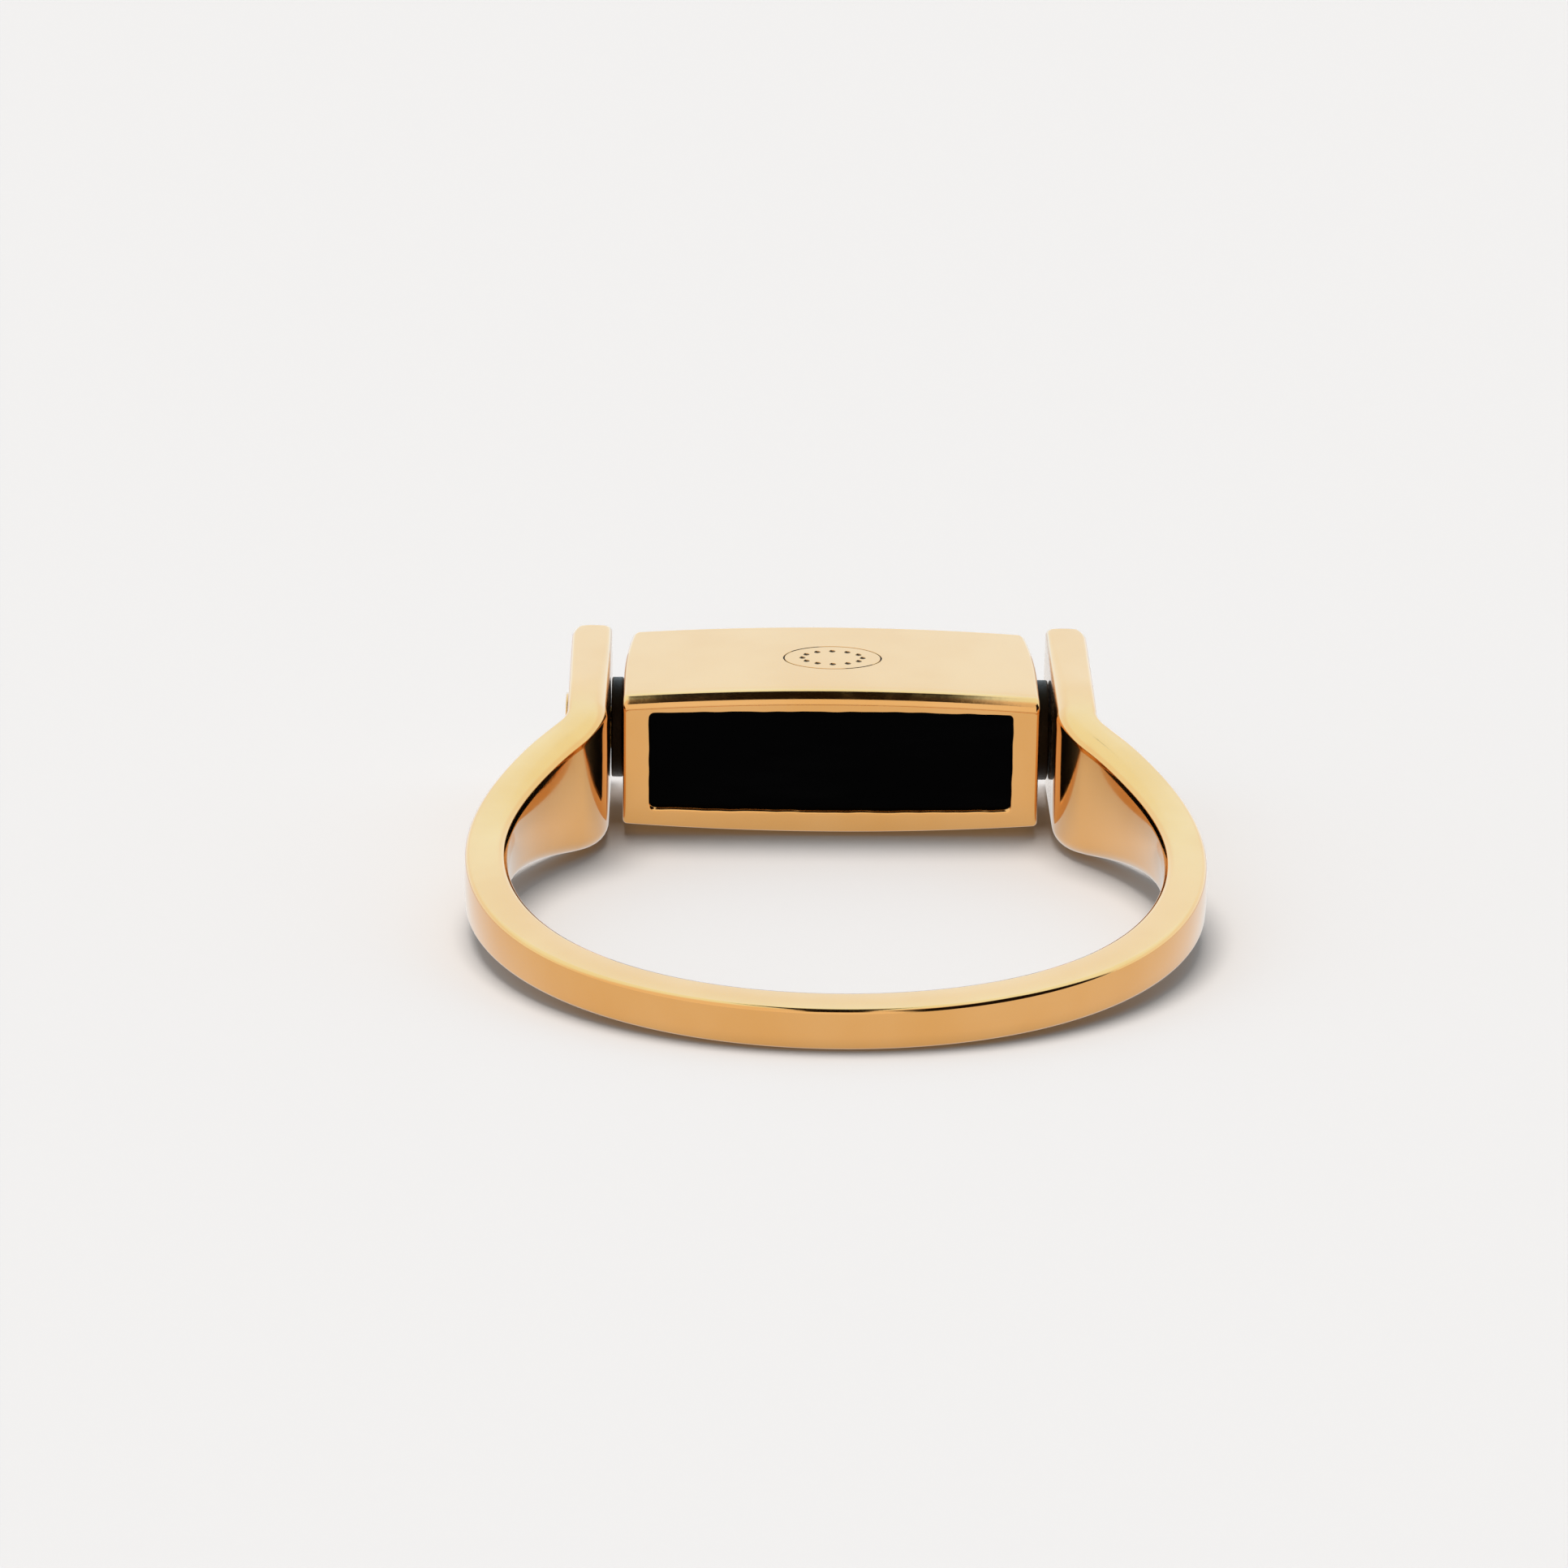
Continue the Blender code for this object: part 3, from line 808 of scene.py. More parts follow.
    def mesh(self, material: bpy.types.Material) -> bpy.types.Mesh:
        """Sweep the shank's rounded section along its omega-shaped path."""
        recipe = MeshRecipe("shank_sweep", self.sizes())
        size = recipe.size
        half_count = self.band_steps + self.fold_steps + self.ear_steps + self.corner_steps + 1
        ring_count = 8 * self.section_steps
        grid = recipe.node("GeometryNodeMeshGrid", {}, {
            "Size X": float(2 * half_count), "Size Y": float(ring_count),
            "Vertices X": 2 * half_count + 1, "Vertices Y": ring_count + 1})
        along, round_section, _ = recipe.separate(recipe.node("GeometryNodeInputPosition").outputs[0])
        stages = self._stages(abs(along))
        inner_x, inner_y, outer_x, outer_y = self._contours(recipe, stages)
        middle_x = (inner_x + outer_x) * 0.5
        half_width = self._half_width(recipe, middle_x, (inner_y + outer_y) * 0.5)
        over_x = outer_x - inner_x
        over_y = outer_y - inner_y
        wall = (over_x * over_x + over_y * over_y).sqrt()
        spot = (round_section + ring_count / 2) / float(self.section_steps)
        reach, height = self._section(recipe, spot, wall, half_width, stages)
        flat_x = inner_x + over_x * (reach / wall)
        flat_y = inner_y + over_y * (reach / wall)
        near_end = (1.0 - (size("ear end") - flat_y) / size("end edge")).clamp()
        drop = size("end edge") * (1.0 - (1.0 - near_end * near_end).most(0.0).sqrt())
        height = height * (1.0 - drop / half_width)
        closing = stages[4]
        flat_x = flat_x + (middle_x - flat_x) * closing
        height = height * (1.0 - closing)
        placed = recipe.node("GeometryNodeSetPosition", {}, {
            "Geometry": grid.outputs["Mesh"],
            "Position": recipe.combine(flat_x * along.sign(), flat_y, height)})
        welded = recipe.node("GeometryNodeMergeByDistance", {}, {
            "Geometry": placed.outputs[0], "Distance": 0.5 * MICRON})
        return Loft.tidied(recipe.finish(welded.outputs[0], material))

    def _section(self, recipe: MeshRecipe, spot: Value, wall: Value,
                 half_width: Value, stages: list[Value]) -> tuple[Value, Value]:
        """One point of the rounded, slightly crowned section.

        Args:
            recipe: The shank's recipe.
            spot: Place round the section, from 0 to 8, in quarters of rounding and flats.
            wall: The section's depth here.
            half_width: Half of its width here.
            stages: The walked shares.

        Returns:
            The point's reach from the inner outline, and its height along Z.
        """
        size = recipe.size
        quarter = [(spot - float(i)).clamp() for i in range(8)]
        flat = [quarter[i].ease() for i in (1, 3, 5, 7)]
        top, outer, bottom, inner = flat
        angle = math.pi - (math.pi / 2) * (quarter[0] + quarter[2] + quarter[4] + quarter[6])
        outward = top - bottom
        band, fold, ear, _, _ = stages
        grown = size("inner edge") + (size("fold edge") - size("inner edge")) * band.step(0.45, 1.0)
        grown = grown + (size("ear edge") - size("fold edge")) * ear.ease()
        inner_round = grown.least(wall * 0.4)
        crown = half_width * half_width / (2.0 * size("crown radius")) * (1.0 - 0.85 * fold.ease())
        outer_round = size("outer edge").least(wall / 3.0)
        radius = inner_round + (outer_round - inner_round) * outward
        start = inner_round + crown
        end = wall - outer_round - size("outer crown")
        swell = [4.0 * share * (1.0 - share) for share in flat]
        reach = start + (end - start) * outward + radius * angle.cos() \
            + size("outer crown") * swell[1] - crown * swell[3]
        upward = 1.0 - 2.0 * outer + 2.0 * inner
        height = (half_width - size("side crown") - radius) * upward + radius * angle.sin() \
            + size("side crown") * (swell[0] - swell[2])
        return reach, height

    def pieces(self) -> list[Piece]:
        """The shank, with a hole for the pin through both ears."""
        material = self.finish.material()
        reach = self.drill_reach
        drill = Loft.turned("ear_drill", [(-reach, self.pin_hole), (reach, self.pin_hole)],
                            self.pivot_y, True, 72)
        mesh = cut_away("shank_body", self.mesh(material), [drill])
        return [Piece("shank_body", mesh, material, Body.SHANK, Slot.POLISHED_GOLD, "shank")]


# ---------------------------------------------------------------------------------------------
# Head
# ---------------------------------------------------------------------------------------------


@dataclass
class BowedBar:
    """The outline of a bar whose long sides bow outwards, with a fixed count of points."""

    half_length: float
    half_height: float
    bow: float
    corner: float
    long_steps: int = 150
    end_steps: int = 44
    corner_steps: int = 7

    def edge(self, x: float, drop: float) -> float:
        """Height of a long side at a place along it."""
        arc = (self.half_length ** 2 + self.bow ** 2) / (2 * self.bow)
        return self.half_height + self.bow - arc + math.sqrt(max(arc ** 2 - x ** 2, 0.0)) - drop

    def ring(self, y: float, in_x: float = 0.0, in_top: float = 0.0, in_bottom: float = 0.0,
             corner: float | None = None, waver: Callable[[float], float] | None = None) -> Ring:
        """One ring of the outline.

        Args:
            y: The plane it lies in.
            in_x: How far each end is drawn in.
            in_top: How far the upper side is lowered.
            in_bottom: How far the lower side is raised.
            corner: The corners' radius, if it isn't the bar's own.
            waver: How far inwards the outline wanders, by its share of the way round.

        Returns:
            The ring's points, anticlockwise seen from the front.
        """
        radius = self.corner if corner is None else corner
        half = self.half_length - in_x
        flat = half - radius
        top = self.edge(flat, in_top) - radius
        bottom = -(self.edge(flat, in_bottom) - radius)
        points: list[tuple[float, float]] = []
        for i in range(self.long_steps):
            x = flat - 2 * flat * i / self.long_steps
            points.append((x, self.edge(x, in_top)))
        points += self._corner(-flat, top, radius, math.pi / 2)
        for i in range(self.end_steps):
            points.append((-half, top + (bottom - top) * i / self.end_steps))
        points += self._corner(-flat, bottom, radius, math.pi)
        for i in range(self.long_steps):
            x = -flat + 2 * flat * i / self.long_steps
            points.append((x, -self.edge(x, in_bottom)))
        points += self._corner(flat, bottom, radius, 3 * math.pi / 2)
        for i in range(self.end_steps):
            points.append((half, bottom + (top - bottom) * i / self.end_steps))
        points += self._corner(flat, top, radius, 0.0)
        ring = [Vector((x, y, z)) for x, z in points]
        return self._wandered(ring, waver) if waver else ring

    def _corner(self, x: float, z: float, radius: float, start: float) -> list[tuple[float, float]]:
        """A corner's points, from its start angle, without the last one."""
        turns = [start + math.pi / 2 * i / self.corner_steps for i in range(self.corner_steps)]
        return [(x + radius * math.cos(a), z + radius * math.sin(a)) for a in turns]

    @staticmethod
    def _wandered(ring: Ring, waver: Callable[[float], float]) -> Ring:
        """Move each point of a ring along its own inward normal."""
        out = []
        count = len(ring)
        for i, point in enumerate(ring):
            along = (ring[(i + 1) % count] - ring[i - 1]).normalized()
            inward = Vector((-along.z, 0.0, along.x))
            if inward.dot(point) > 0:
                inward = -inward
            out.append(point + inward * waver(i / count))
        return out


class HandBurnish:
    """The small wander of an edge that was rubbed over by hand, the same on every run."""

    def __init__(self, seed: int, depth: float) -> None:
        """Pick the waves.

        Args:
            seed: Fixes the waves.
            depth: Their greatest height together, in metres.
        """
        chooser = random.Random(seed)
        self.waves = [(count, chooser.uniform(0, 2 * math.pi), chooser.uniform(0.4, 1.0))
                      for count in (3, 7, 11, 17, 26, 41)]
        self.depth = depth / sum(size for _, _, size in self.waves)

    def __call__(self, share: float) -> float:
        """How far in the edge stands at a share of the way round."""
        total = sum(size * math.sin(2 * math.pi * count * share + phase)
                    for count, phase, size in self.waves)
        return self.depth * total * 1.6


@dataclass
class Head:
    """The bar-shaped case with its onyx, its plain signet table and the tube it turns on."""

    front_y: float
    back_y: float
    half_length: float
    pivot_y: float
    end_height: float = 3.74 * MM
    bow: float = 0.21 * MM
    end_rim: float = 0.74 * MM
    side_rim: float = 0.41 * MM
    window_bow: float = 0.07 * MM
    window_corner: float = 0.15 * MM
    onyx_depth: float = 1.0 * MM
    onyx_recess: float = 0.15 * MM
    table_depth: float = 0.36 * MM
    table_edge: float = 0.05 * MM
    table_crown: float = 0.012 * MM
    seat_gap: float = 0.02 * MM
    case_wall: float = 0.36 * MM
    partition: float = 0.26 * MM
    tube_radius: float = 0.83 * MM
    tube_bore: float = 0.63 * MM
    top_front_round: float = 0.38 * MM
    top_front_drop: float = 0.35 * MM
    front_round: float = 0.10 * MM
    back_end_round: float = 0.28 * MM
    end_taper: float = 0.24 * MM
    taper_length: float = 3.4 * MM
    back_round: float = 0.13 * MM
    top_roll: float = 0.030 * MM
    top_roll_length: float = 0.62 * MM
    top_crown: float = 0.008 * MM
    long_edge: float = 0.12 * MM
    lip_edge: float = 0.014 * MM
    end_lip: float = 0.07 * MM
    upper_lip: float = 0.03 * MM
    lower_lip: float = 0.13 * MM
    burnish: float = 0.014 * MM
    finish: HeadGold = field(default_factory=lambda: HeadGold("head_gold"))

    @staticmethod
    def _round(distance: float, radius: float) -> float:
        """How far a rounded edge is drawn in at a distance from the face that it ends on."""
        left = max(radius - distance, 0.0)
        return radius - math.sqrt(max(radius ** 2 - left ** 2, 0.0))

    def _outer_bar(self) -> BowedBar:
        """The case's outline."""
        return BowedBar(self.half_length, self.end_height / 2, self.bow, self.long_edge)

    def _window_bar(self) -> BowedBar:
        """The onyx window's outline."""
        return BowedBar(self.half_length - self.end_rim, self.end_height / 2 - self.side_rim,
                        self.window_bow, self.window_corner)

    def _outer_ring(self, y: float) -> Ring:
        """The case's outline in one plane, with its rounded front and back edges."""
        front = y - self.front_y
        back = self.back_y - y
        roll = max(1.0 - front / self.top_roll_length, 0.0)
        middle = (2.0 * front / (self.back_y - self.front_y) - 1.0) ** 2 * self.top_crown
        taper = self.end_taper * max(1.0 - back / self.taper_length, 0.0) ** 2.2
        in_x = self._round(front, self.front_round) + self._round(back, self.back_end_round) + taper
        drop = self._round(front, self.top_front_round) * self.top_front_drop / self.top_front_round
        in_top = drop + self._round(back, self.back_round) + self.top_roll * roll ** 1.6 + middle
        in_bottom = self._round(front, self.front_round) + self._round(back, self.back_round) + middle
        return self._outer_bar().ring(y, in_x, in_top, in_bottom)

    def _outer_planes(self) -> list[float]:
        """Planes along the case, close together where its edges are round."""
        front = [0.0] + [self.top_roll_length * (1 - math.cos(math.pi / 2 * i / 18)) for i in range(1, 19)]
        back = [self.back_end_round * (1 - math.cos(math.pi / 2 * i / 16)) for i in range(17)]
        start = self.front_y + self.top_roll_length
        end = self.back_y - self.back_end_round
        middle = [start + (end - start) * i / 14 for i in range(1, 14)]
        return [self.front_y + s for s in front] + middle + [self.back_y - s for s in reversed(back)]

    @staticmethod
    def _between(first: Ring, second: Ring, share: float) -> Ring:
        """A ring part of the way from one to another."""
        return [a.lerp(b, share) for a, b in zip(first, second)]

    def case_mesh(self) -> bpy.types.Mesh:
        """The case: onyx pocket, burnished lip, rims, sides, and the hollow behind the table."""
        window = self._window_bar()
        wander = HandBurnish(11, self.burnish)
        gap = -self.seat_gap
        pocket_floor = self.front_y + self.onyx_depth + self.seat_gap
        face = self.front_y + self.onyx_recess
        pocket = [self._stone_ring(pocket_floor, gap), self._stone_ring(face + 0.03 * MM, gap),
                  self._stone_ring(face + 0.012 * MM, 0.012 * MM, wander)]
        lip = []
        for i in range(9):
            turn = math.pi / 2 * i / 8
            insets = [self.lip_edge - width * (1 - math.cos(turn))
                      for width in (self.end_lip, self.upper_lip)]
            low = self.lip_edge - self.upper_lip + self.lower_lip * math.cos(turn)
            depth = self.onyx_recess * (1 - math.sin(turn))
            lip.append(window.ring(self.front_y + depth, *insets, low, waver=wander))
        outside = [self._outer_ring(y) for y in self._outer_planes()]
        rim = [self._between(lip[-1], outside[0], share) for share in (0.04, 0.3, 0.7, 0.94)]
        opening = window.ring(self.back_y, gap, gap, gap)
        seat = [self._between(opening, outside[-1], share) for share in (0.94, 0.5, 0.06)]
        floor_y = pocket_floor + self.partition
        table_seat = self.back_y - self.table_depth
        hollow = self._hollow_bar(self.case_wall)
        inside = [opening, window.ring(self.back_y - 0.1 * MM, gap, gap, gap),
                  window.ring(table_seat, gap, gap, gap), hollow.ring(table_seat),
                  hollow.ring(floor_y)]
        return Loft.mesh("head_case_body", pocket + lip + rim + outside + seat + inside)

    def _stone_ring(self, y: float, inset: float,
                    waver: Callable[[float], float] | None = None) -> Ring:
        """The stone's outline in one plane: the window's, above the broad lip on the lower side."""
        low = inset + self.lower_lip - self.upper_lip
        return self._window_bar().ring(y, inset, inset, low, waver=waver)

    def _hollow_bar(self, inset: float) -> BowedBar:
        """The case's outline, drawn in all round."""
        return BowedBar(self.half_length - inset, self.end_height / 2 - inset, self.bow,
                        self.window_corner)

    def onyx_mesh(self) -> bpy.types.Mesh:
        """The flat stone, a hair below the rims, with its edge just broken."""
        back = self.front_y + self.onyx_depth
        face = self.front_y + self.onyx_recess
        places = ((back, 0.02), (back - 0.02 * MM, 0.0), (face + 0.02 * MM, 0.0),
                  (face + 0.005 * MM, 0.006), (face, 0.02), (face, 0.2))
        return Loft.mesh("onyx_stone", [self._stone_ring(y, inset * MM) for y, inset in places])

    def table_mesh(self) -> bpy.types.Mesh:
        """The plain gold table, with a broken edge and a face that is very slightly crowned."""
        bar = self._window_bar()
        seat = self.back_y - self.table_depth
        rings = [bar.ring(seat, 0.03 * MM, 0.03 * MM, 0.03 * MM), bar.ring(seat + 0.03 * MM)]
        edge_y = self.back_y - self.table_crown - self.table_edge
        for i in range(6):
            turn = math.pi / 2 * i / 5
            inset = self.table_edge * (1 - math.cos(turn))
            rings.append(bar.ring(edge_y + self.table_edge * math.sin(turn), inset, inset, inset))
        edge = rings[-1]
        for share in (0.03, 0.12, 0.3, 0.55, 0.8, 0.97):
            crown = self.table_crown * (1 - (1 - share) ** 2)
            rings.append([Vector((p.x * (1 - share), edge[0].y + crown, p.z * (1 - share))) for p in edge])
        return Loft.mesh("signet_table", rings)

    def tube_mesh(self) -> bpy.types.Mesh:
        """The tube that the head turns on, with broken edges."""
        end = self.half_length
        corners = [(end, self.tube_radius), (-end, self.tube_radius), (-end, self.tube_bore),
                   (end, self.tube_bore)]
        return Loft.turned("pivot_bush", Loft.rounded(corners, 0.04 * MM, closed=True),
                           self.pivot_y, False)

    def pieces(self) -> list[Piece]:
        """The head's four pieces."""
        gold = self.finish.material()
        bore = self.tube_radius + self.seat_gap
        reach = self.half_length + 1.0 * MM
        drill = Loft.turned("tube_drill", [(-reach, bore), (reach, bore)], self.pivot_y, True, 96)
        motif = Motif(centre_x=0.06 * MM, centre_y=self.pivot_y + 0.12 * MM,
                      surface=lambda x: self._outer_bar().edge(x, 0.0))
        case = cut_away("head_case_body", self.case_mesh(), [drill] + motif.tools())
        table_gold = Gold("table_gold", wave=1.2 * MICRON).material()
        tube_gold = Gold("tube_gold", roughness=0.25, grain=2.0 * MICRON).material()
        return [
            Piece("head_case_body", case, gold, Body.HEAD, Slot.POLISHED_GOLD, "head_case"),
            Piece("onyx_stone", self.onyx_mesh(), Onyx().material(), Body.HEAD, Slot.ONYX, "onyx_inlay"),
            Piece("signet_table", self.table_mesh(), table_gold, Body.HEAD, Slot.POLISHED_GOLD,
                  "signet_plate"),
            Piece("pivot_bush", self.tube_mesh(), tube_gold, Body.HEAD, Slot.PLAIN_GOLD, "pivot_tube"),
        ]


@dataclass
class Motif:
    """A plain ornament cut into the head's upper side: an oval line with punched dots inside."""

    centre_x: float
    centre_y: float
    surface: Callable[[float], float]
    half_length: float = 1.36 * MM
    half_depth: float = 0.86 * MM
    line_width: float = 0.055 * MM
    depth: float = 0.05 * MM
    dot_radius: float = 0.10 * MM
    dots: int = 12

    def _oval(self, name: str, half_length: float, half_depth: float, width: float) -> bpy.types.Mesh:
        """A closed four-sided ring along an oval, to cut a V-shaped line with."""
        steps = 144
        rings = []
        for i in range(steps):
            turn = 2 * math.pi * i / steps
            x = half_length * math.cos(turn)
            y = half_depth * math.sin(turn)
            out = Vector((math.cos(turn) / half_length, math.sin(turn) / half_depth)).normalized()
            level = self.surface(self.centre_x + x)
            ring = []
            for offset, lift in ((-width, self.depth * 1.2), (0.0, -self.depth), (width, self.depth * 1.2)):
                ring.append(Vector((self.centre_x + x + out.x * offset,
                                    self.centre_y + y + out.y * offset, level + lift)))
            rings.append(ring)
        return Loft.mesh(name, rings, capped=False)

    def _dots(self) -> bpy.types.Mesh:
        """Punches along a smaller oval, set out by a recipe as one mesh."""
        recipe = MeshRecipe("motif_dots", {"half length": self.half_length * 0.62,
                                           "half depth": self.half_depth * 0.58,
                                           "dot radius": self.dot_radius,
                                           "level": self.surface(self.centre_x) + 0.35 * self.dot_radius})
        circle = recipe.node("GeometryNodeMeshCircle", {}, {"Vertices": self.dots, "Radius": 1.0})
        x, y, _ = recipe.separate(recipe.node("GeometryNodeInputPosition").outputs[0])
        spots = recipe.node("GeometryNodeSetPosition", {}, {
            "Geometry": circle.outputs[0],
            "Position": recipe.combine(x * recipe.size("half length") + self.centre_x,
                                       y * recipe.size("half depth") + self.centre_y,
                                       recipe.size("level"))})
        punch = recipe.node("GeometryNodeMeshUVSphere", {}, {
            "Segments": 16, "Rings": 8, "Radius": recipe.size("dot radius")})
        laid = recipe.node("GeometryNodeInstanceOnPoints", {}, {
            "Points": spots.outputs[0], "Instance": punch.outputs[0]})
        blank = bpy.data.materials.new("motif_punch")
        mesh = recipe.finish(laid.outputs[0], blank)
        mesh.materials.clear()
        bpy.data.materials.remove(blank)
        return Loft.tidied(mesh)

    def tools(self) -> list[bpy.types.Mesh]:
        """Everything that cuts the ornament."""
        line = self._oval("motif_line", self.half_length, self.half_depth, self.line_width)
        return [line, self._dots()]


# ---------------------------------------------------------------------------------------------
# Pivot
# ---------------------------------------------------------------------------------------------


@dataclass
class Pivot:
    """The riveted pin and the two washers that keep the head off the ears."""

    pivot_y: float
    pin_radius: float = 0.6 * MM
    head_radius: float = 0.95 * MM
    left_x: float = -7.40 * MM
    seat_x: float = -7.30 * MM
    right_x: float = 7.28 * MM
    washer_bore: float = 0.63 * MM
    washer_radius: float = 1.4 * MM

    def pin_mesh(self) -> bpy.types.Mesh:
        """The pin: a low spun head outside the left ear, and a right end level with its ear."""
        dome = [(self.left_x + 0.012 * MM * share ** 2, self.head_radius * 0.9 * share)
                for share in (0.06, 0.2, 0.4, 0.6, 0.8, 1.0)]
        rim = Loft.rounded([dome[-1], (self.left_x + 0.02 * MM, self.head_radius),
                            (self.seat_x, self.head_radius), (self.seat_x, self.pin_radius),
                            (self.right_x - 0.02 * MM, self.pin_radius),
                            (self.right_x, self.pin_radius * 0.97),
                            (self.right_x, 0.03 * MM)], 0.03 * MM)
        return Loft.turned("rivet_pin", dome + rim[1:], self.pivot_y, True)

    def washer_mesh(self, side: Side, low_x: float, high_x: float) -> bpy.types.Mesh:
        """A washer with broken edges.

        Args:
            side: Which end of the head it lies against.
            low_x: Its left face.
            high_x: Its right face.

        Returns:
            The washer's mesh.
        """
        corners = [(high_x, self.washer_radius), (low_x, self.washer_radius),
                   (low_x, self.washer_bore), (high_x, self.washer_bore)]
        return Loft.turned(f"washer_{side.name.lower()}_body",
                           Loft.rounded(corners, 0.06 * MM, closed=True), self.pivot_y, False)

    def pieces(self) -> list[Piece]:
        """The pin and both washers."""
        plain = Gold("pin_gold", roughness=0.14, grain=0.5 * MICRON)
        gold = plain.material()
        # The washers are real parts, but their near-black colour is painted shade. It stands in for the
        # deep shade in the narrow gap between the head and the ears.
        washer_painted_shade = Gold("washer_painted_shade", roughness=0.3, grain=2.0 * MICRON,
                           colour=(0.012, 0.007, 0.004), pale=(0.02, 0.012, 0.006), coat=0.0).material()
        made = [Piece("rivet_pin", self.pin_mesh(), gold, Body.SHANK, Slot.PLAIN_GOLD, "pivot_pin")]
        for side, node in ((Side.LEFT, "washer_left"), (Side.RIGHT, "washer_right")):
            low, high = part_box(node)
            mesh = self.washer_mesh(side, low.x, high.x)
            made.append(Piece(mesh.name, mesh, washer_painted_shade, Body.SHANK, Slot.PLAIN_GOLD, node))
        return made


# ---------------------------------------------------------------------------------------------
# Studio
# ---------------------------------------------------------------------------------------------


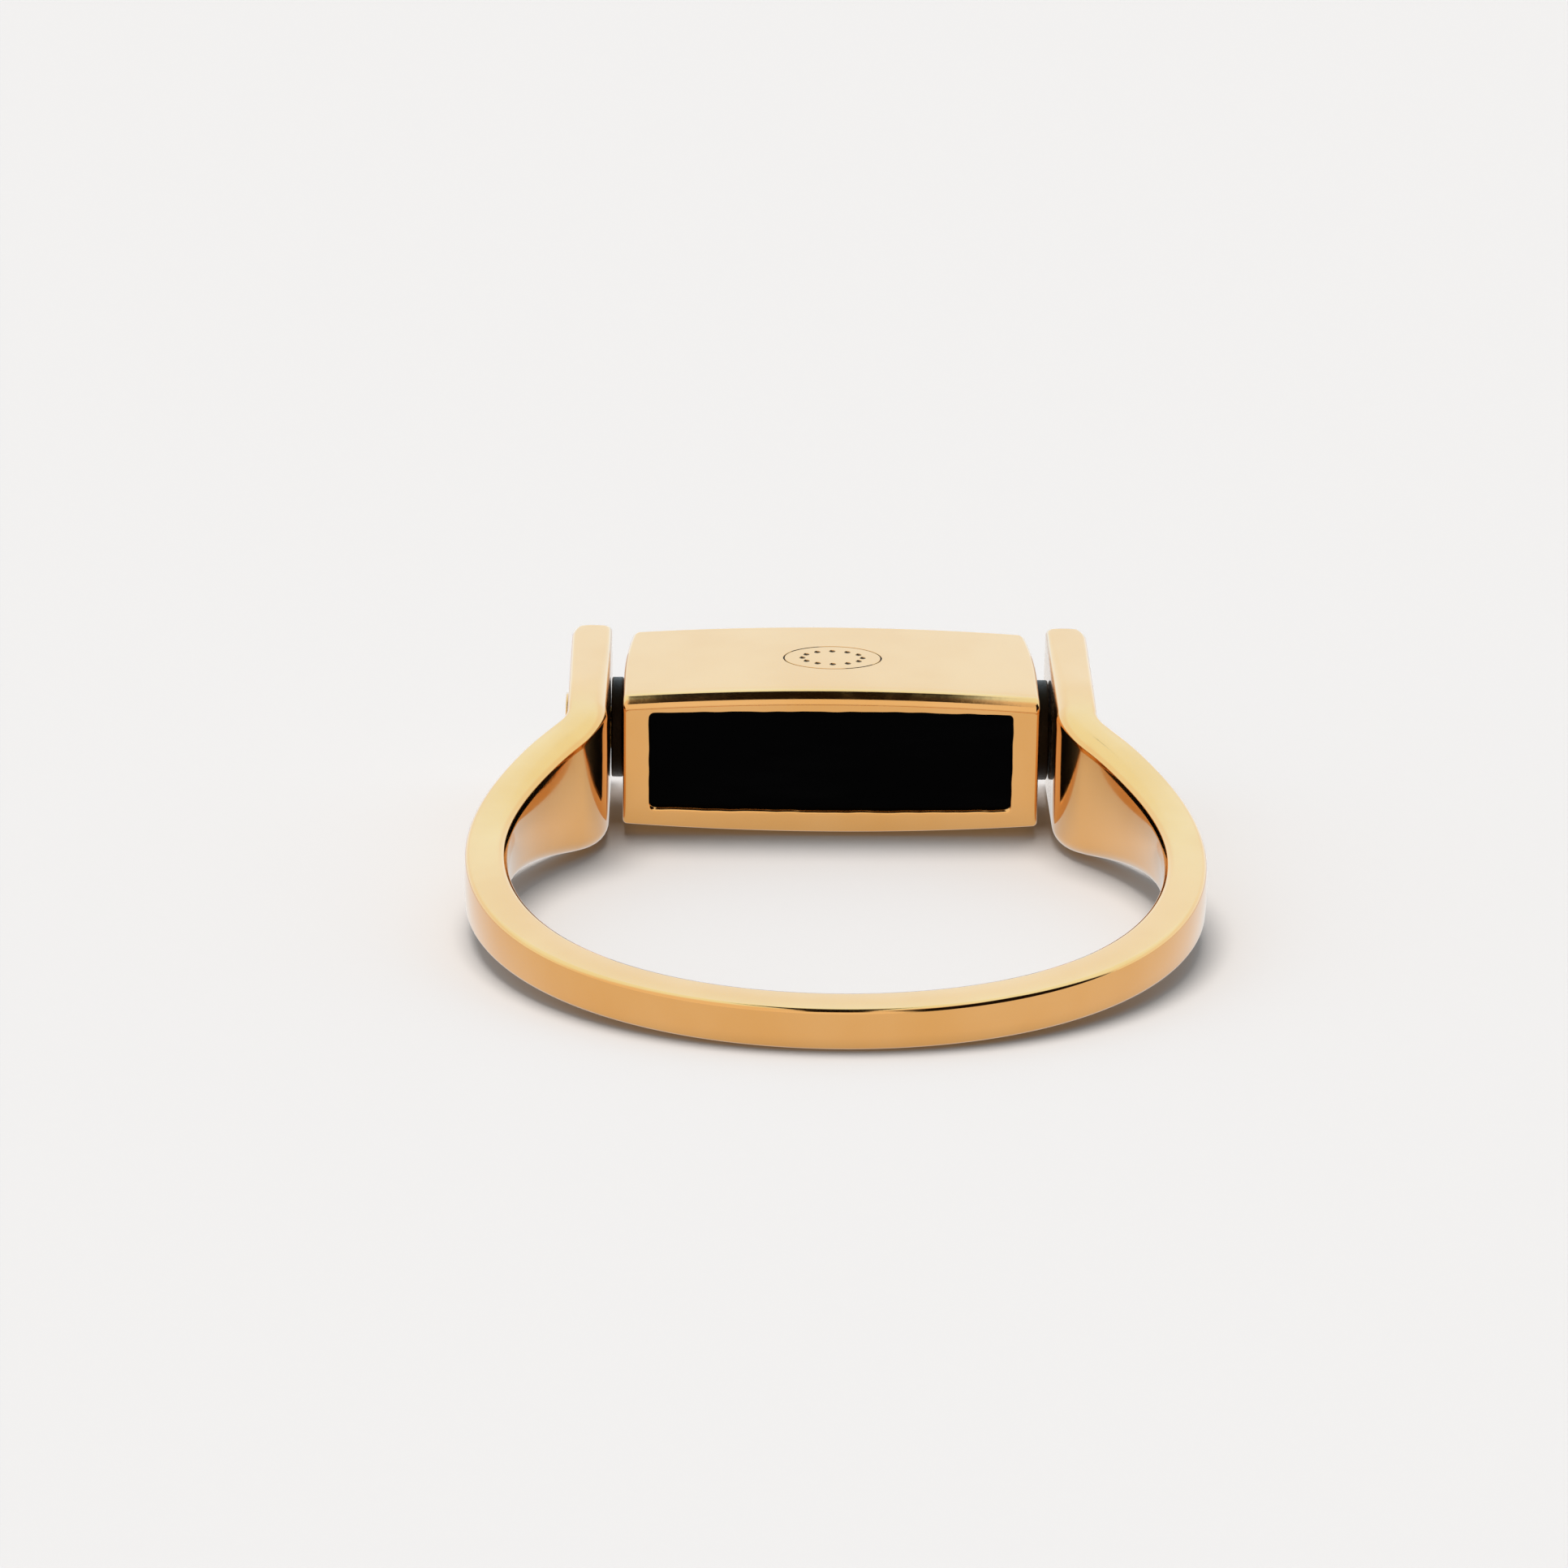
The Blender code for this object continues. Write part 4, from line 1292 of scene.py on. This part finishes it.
@dataclass
class Studio:
    """The pale ground, the soft light and the camera."""

    ground_tip: float = math.radians(5.2)
    ground_y: float = -9.87 * MM
    ground_z: float = -0.575 * MM
    ground_half: float = 0.9
    overhead_spread: float = math.radians(34.0)
    overhead_strength: float = 5.2
    distance: float = 0.160
    elevation: float = math.radians(23.23)
    swing: float = math.radians(1.30)
    roll: float = math.radians(-0.92)
    lens_mm: float = 138.7826
    aim_right: float = -1.362 * MM
    aim_up: float = 2.415 * MM
    front_colour: tuple[float, float, float] = (1.0, 0.99, 0.97)
    behind_colour: tuple[float, float, float] = (1.03, 1.27, 1.43)
    glow_colour: tuple[float, float, float] = (1.05, 1.46, 1.80)
    card_colour: tuple[float, float, float] = (0.012, 0.008, 0.006)
    overhead_colour: tuple[float, float, float] = (1.0, 0.90, 0.83)

    def ground(self) -> bpy.types.Object:
        """A wide sheet that touches the back of the band and the fronts of the ears."""
        mesh = bpy.data.meshes.new("ground")
        rise = math.tan(self.ground_tip)
        steps = 24
        shape = bmesh.new()
        rows = []
        for i in range(steps + 1):
            y = self.ground_half * (2 * i / steps - 1)
            row = []
            for k in range(steps + 1):
                x = self.ground_half * (2 * k / steps - 1)
                row.append(shape.verts.new((x, y, self.ground_z - rise * (y - self.ground_y))))
            rows.append(row)
        for near, far in zip(rows, rows[1:]):
            for k in range(steps):
                shape.faces.new((near[k], near[k + 1], far[k + 1], far[k]))
        shape.to_mesh(mesh)
        shape.free()
        sheet = bpy.data.objects.new("ground", mesh)
        bpy.context.scene.collection.objects.link(sheet)
        mesh.materials.append(Paper().material())
        sheet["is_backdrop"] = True
        return sheet

    def light(self) -> None:
        """A bright dome with a glow behind the ring, a dark card overhead and one to the right."""
        world = bpy.data.worlds.new("studio")
        bpy.context.scene.world = world
        world.use_nodes = True
        tree = ShaderTree(world.node_tree)
        x, y, z = tree.separate(tree.node("ShaderNodeTexCoord").outputs["Generated"])
        azimuth = tree.math("ARCTAN2", x, -y)
        level = tree.math("ARCSINE", z.least(1.0).most(-1.0))
        behind = y.step(-0.35, 0.15)
        over = tree.math("ARCTAN2", z, -y)
        card = self._card(x, over, (-0.10, 0.10), (0.80, 2.06), 0.03)
        side_card = self._card(azimuth, level, (0.42, 1.45), (0.16, 1.05), 0.12)
        dark = card.most(side_card)
        glow = tree.mix(level.step(0.42, 0.60), self.behind_colour, self.glow_colour)
        colour = tree.mix(behind, self.front_colour, glow)
        colour = tree.mix(dark, colour, self.card_colour)
        background = world.node_tree.nodes["Background"]
        tree.feed(background.inputs["Color"], colour)
        background.inputs["Strength"].default_value = 1.0
        overhead = bpy.data.lights.new("overhead", "SUN")
        overhead.angle = self.overhead_spread
        overhead.energy = self.overhead_strength
        overhead.color = self.overhead_colour
        lamp = bpy.data.objects.new("overhead", overhead)
        lamp.rotation_euler = Vector((0.10, -0.30, -1.0)).to_track_quat("-Z", "Y").to_euler()
        lamp.visible_glossy = False
        bpy.context.scene.collection.objects.link(lamp)

    @staticmethod
    def _card(side: Value, level: Value, wide: tuple[float, float], high: tuple[float, float],
              soft: float) -> Value:
        """A soft-edged rectangle on the dome, from 0 outside it to 1 inside."""
        across = side.step(wide[0] - soft, wide[0]) * (1.0 - side.step(wide[1], wide[1] + soft))
        up = level.step(high[0] - soft, high[0]) * (1.0 - level.step(high[1], high[1] + soft))
        return across * up

    def camera(self) -> None:
        """Look down on the ring's front from a little above, through a long lens."""
        turn = math.cos(self.swing), math.sin(self.swing)
        tilt = math.cos(self.elevation), math.sin(self.elevation)
        right = self._swung(Vector((1.0, 0.0, 0.0)), turn)
        up = self._swung(Vector((0.0, tilt[1], tilt[0])), turn)
        forward = self._swung(Vector((0.0, tilt[0], -tilt[1])), turn)
        lean_right = right * math.cos(self.roll) - up * math.sin(self.roll)
        lean_up = right * math.sin(self.roll) + up * math.cos(self.roll)
        spot = -forward * self.distance
        aim = lean_right * self.aim_right + lean_up * self.aim_up
        view = (aim - spot).normalized()
        across = (lean_right - view * lean_right.dot(view)).normalized()
        above = across.cross(view)
        lens = bpy.data.cameras.new("camera")
        lens.sensor_width = 36.0
        lens.lens = self.lens_mm
        lens.clip_start = 0.002
        lens.clip_end = 20.0
        eye = bpy.data.objects.new("camera", lens)
        bpy.context.scene.collection.objects.link(eye)
        rows = [[across[i], above[i], -view[i], spot[i]] for i in range(3)] + [[0.0, 0.0, 0.0, 1.0]]
        eye.matrix_world = Matrix(rows)
        bpy.context.scene.camera = eye

    @staticmethod
    def _swung(direction: Vector, turn: tuple[float, float]) -> Vector:
        """Turn a direction about Z, by the cosine and sine of the swing."""
        return Vector((turn[0] * direction.x + turn[1] * direction.y,
                       turn[0] * direction.y - turn[1] * direction.x, direction.z))

    def build(self) -> None:
        """Set the studio up."""
        self.ground()
        self.light()
        self.camera()
        bpy.context.scene.view_settings.view_transform = "Standard"
        log.info("studio is ready")


def corners() -> list[list[float]]:
    """The shown object's lowest and highest corner as plain lists."""
    return [[float(value) for value in corner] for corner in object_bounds()]


def main() -> None:
    """Build the ring and its studio."""
    logging.basicConfig(level=logging.INFO, format="%(name)s %(message)s")
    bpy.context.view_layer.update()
    pivot_y = frame["joints"][0]["pos_m"][1]
    shank_low, shank_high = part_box("shank")
    case_low, case_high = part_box("head_case")
    shank = Shank(ear_width=shank_high.z - shank_low.z, ear_end_y=shank_high.y, pivot_y=pivot_y)
    head = Head(front_y=case_low.y, back_y=case_high.y, half_length=case_high.x, pivot_y=pivot_y)
    for assembly in (shank, head, Pivot(pivot_y=pivot_y)):
        for piece in assembly.pieces():
            piece.show()
    Studio().build()


if __name__ == "__main__":
    main()
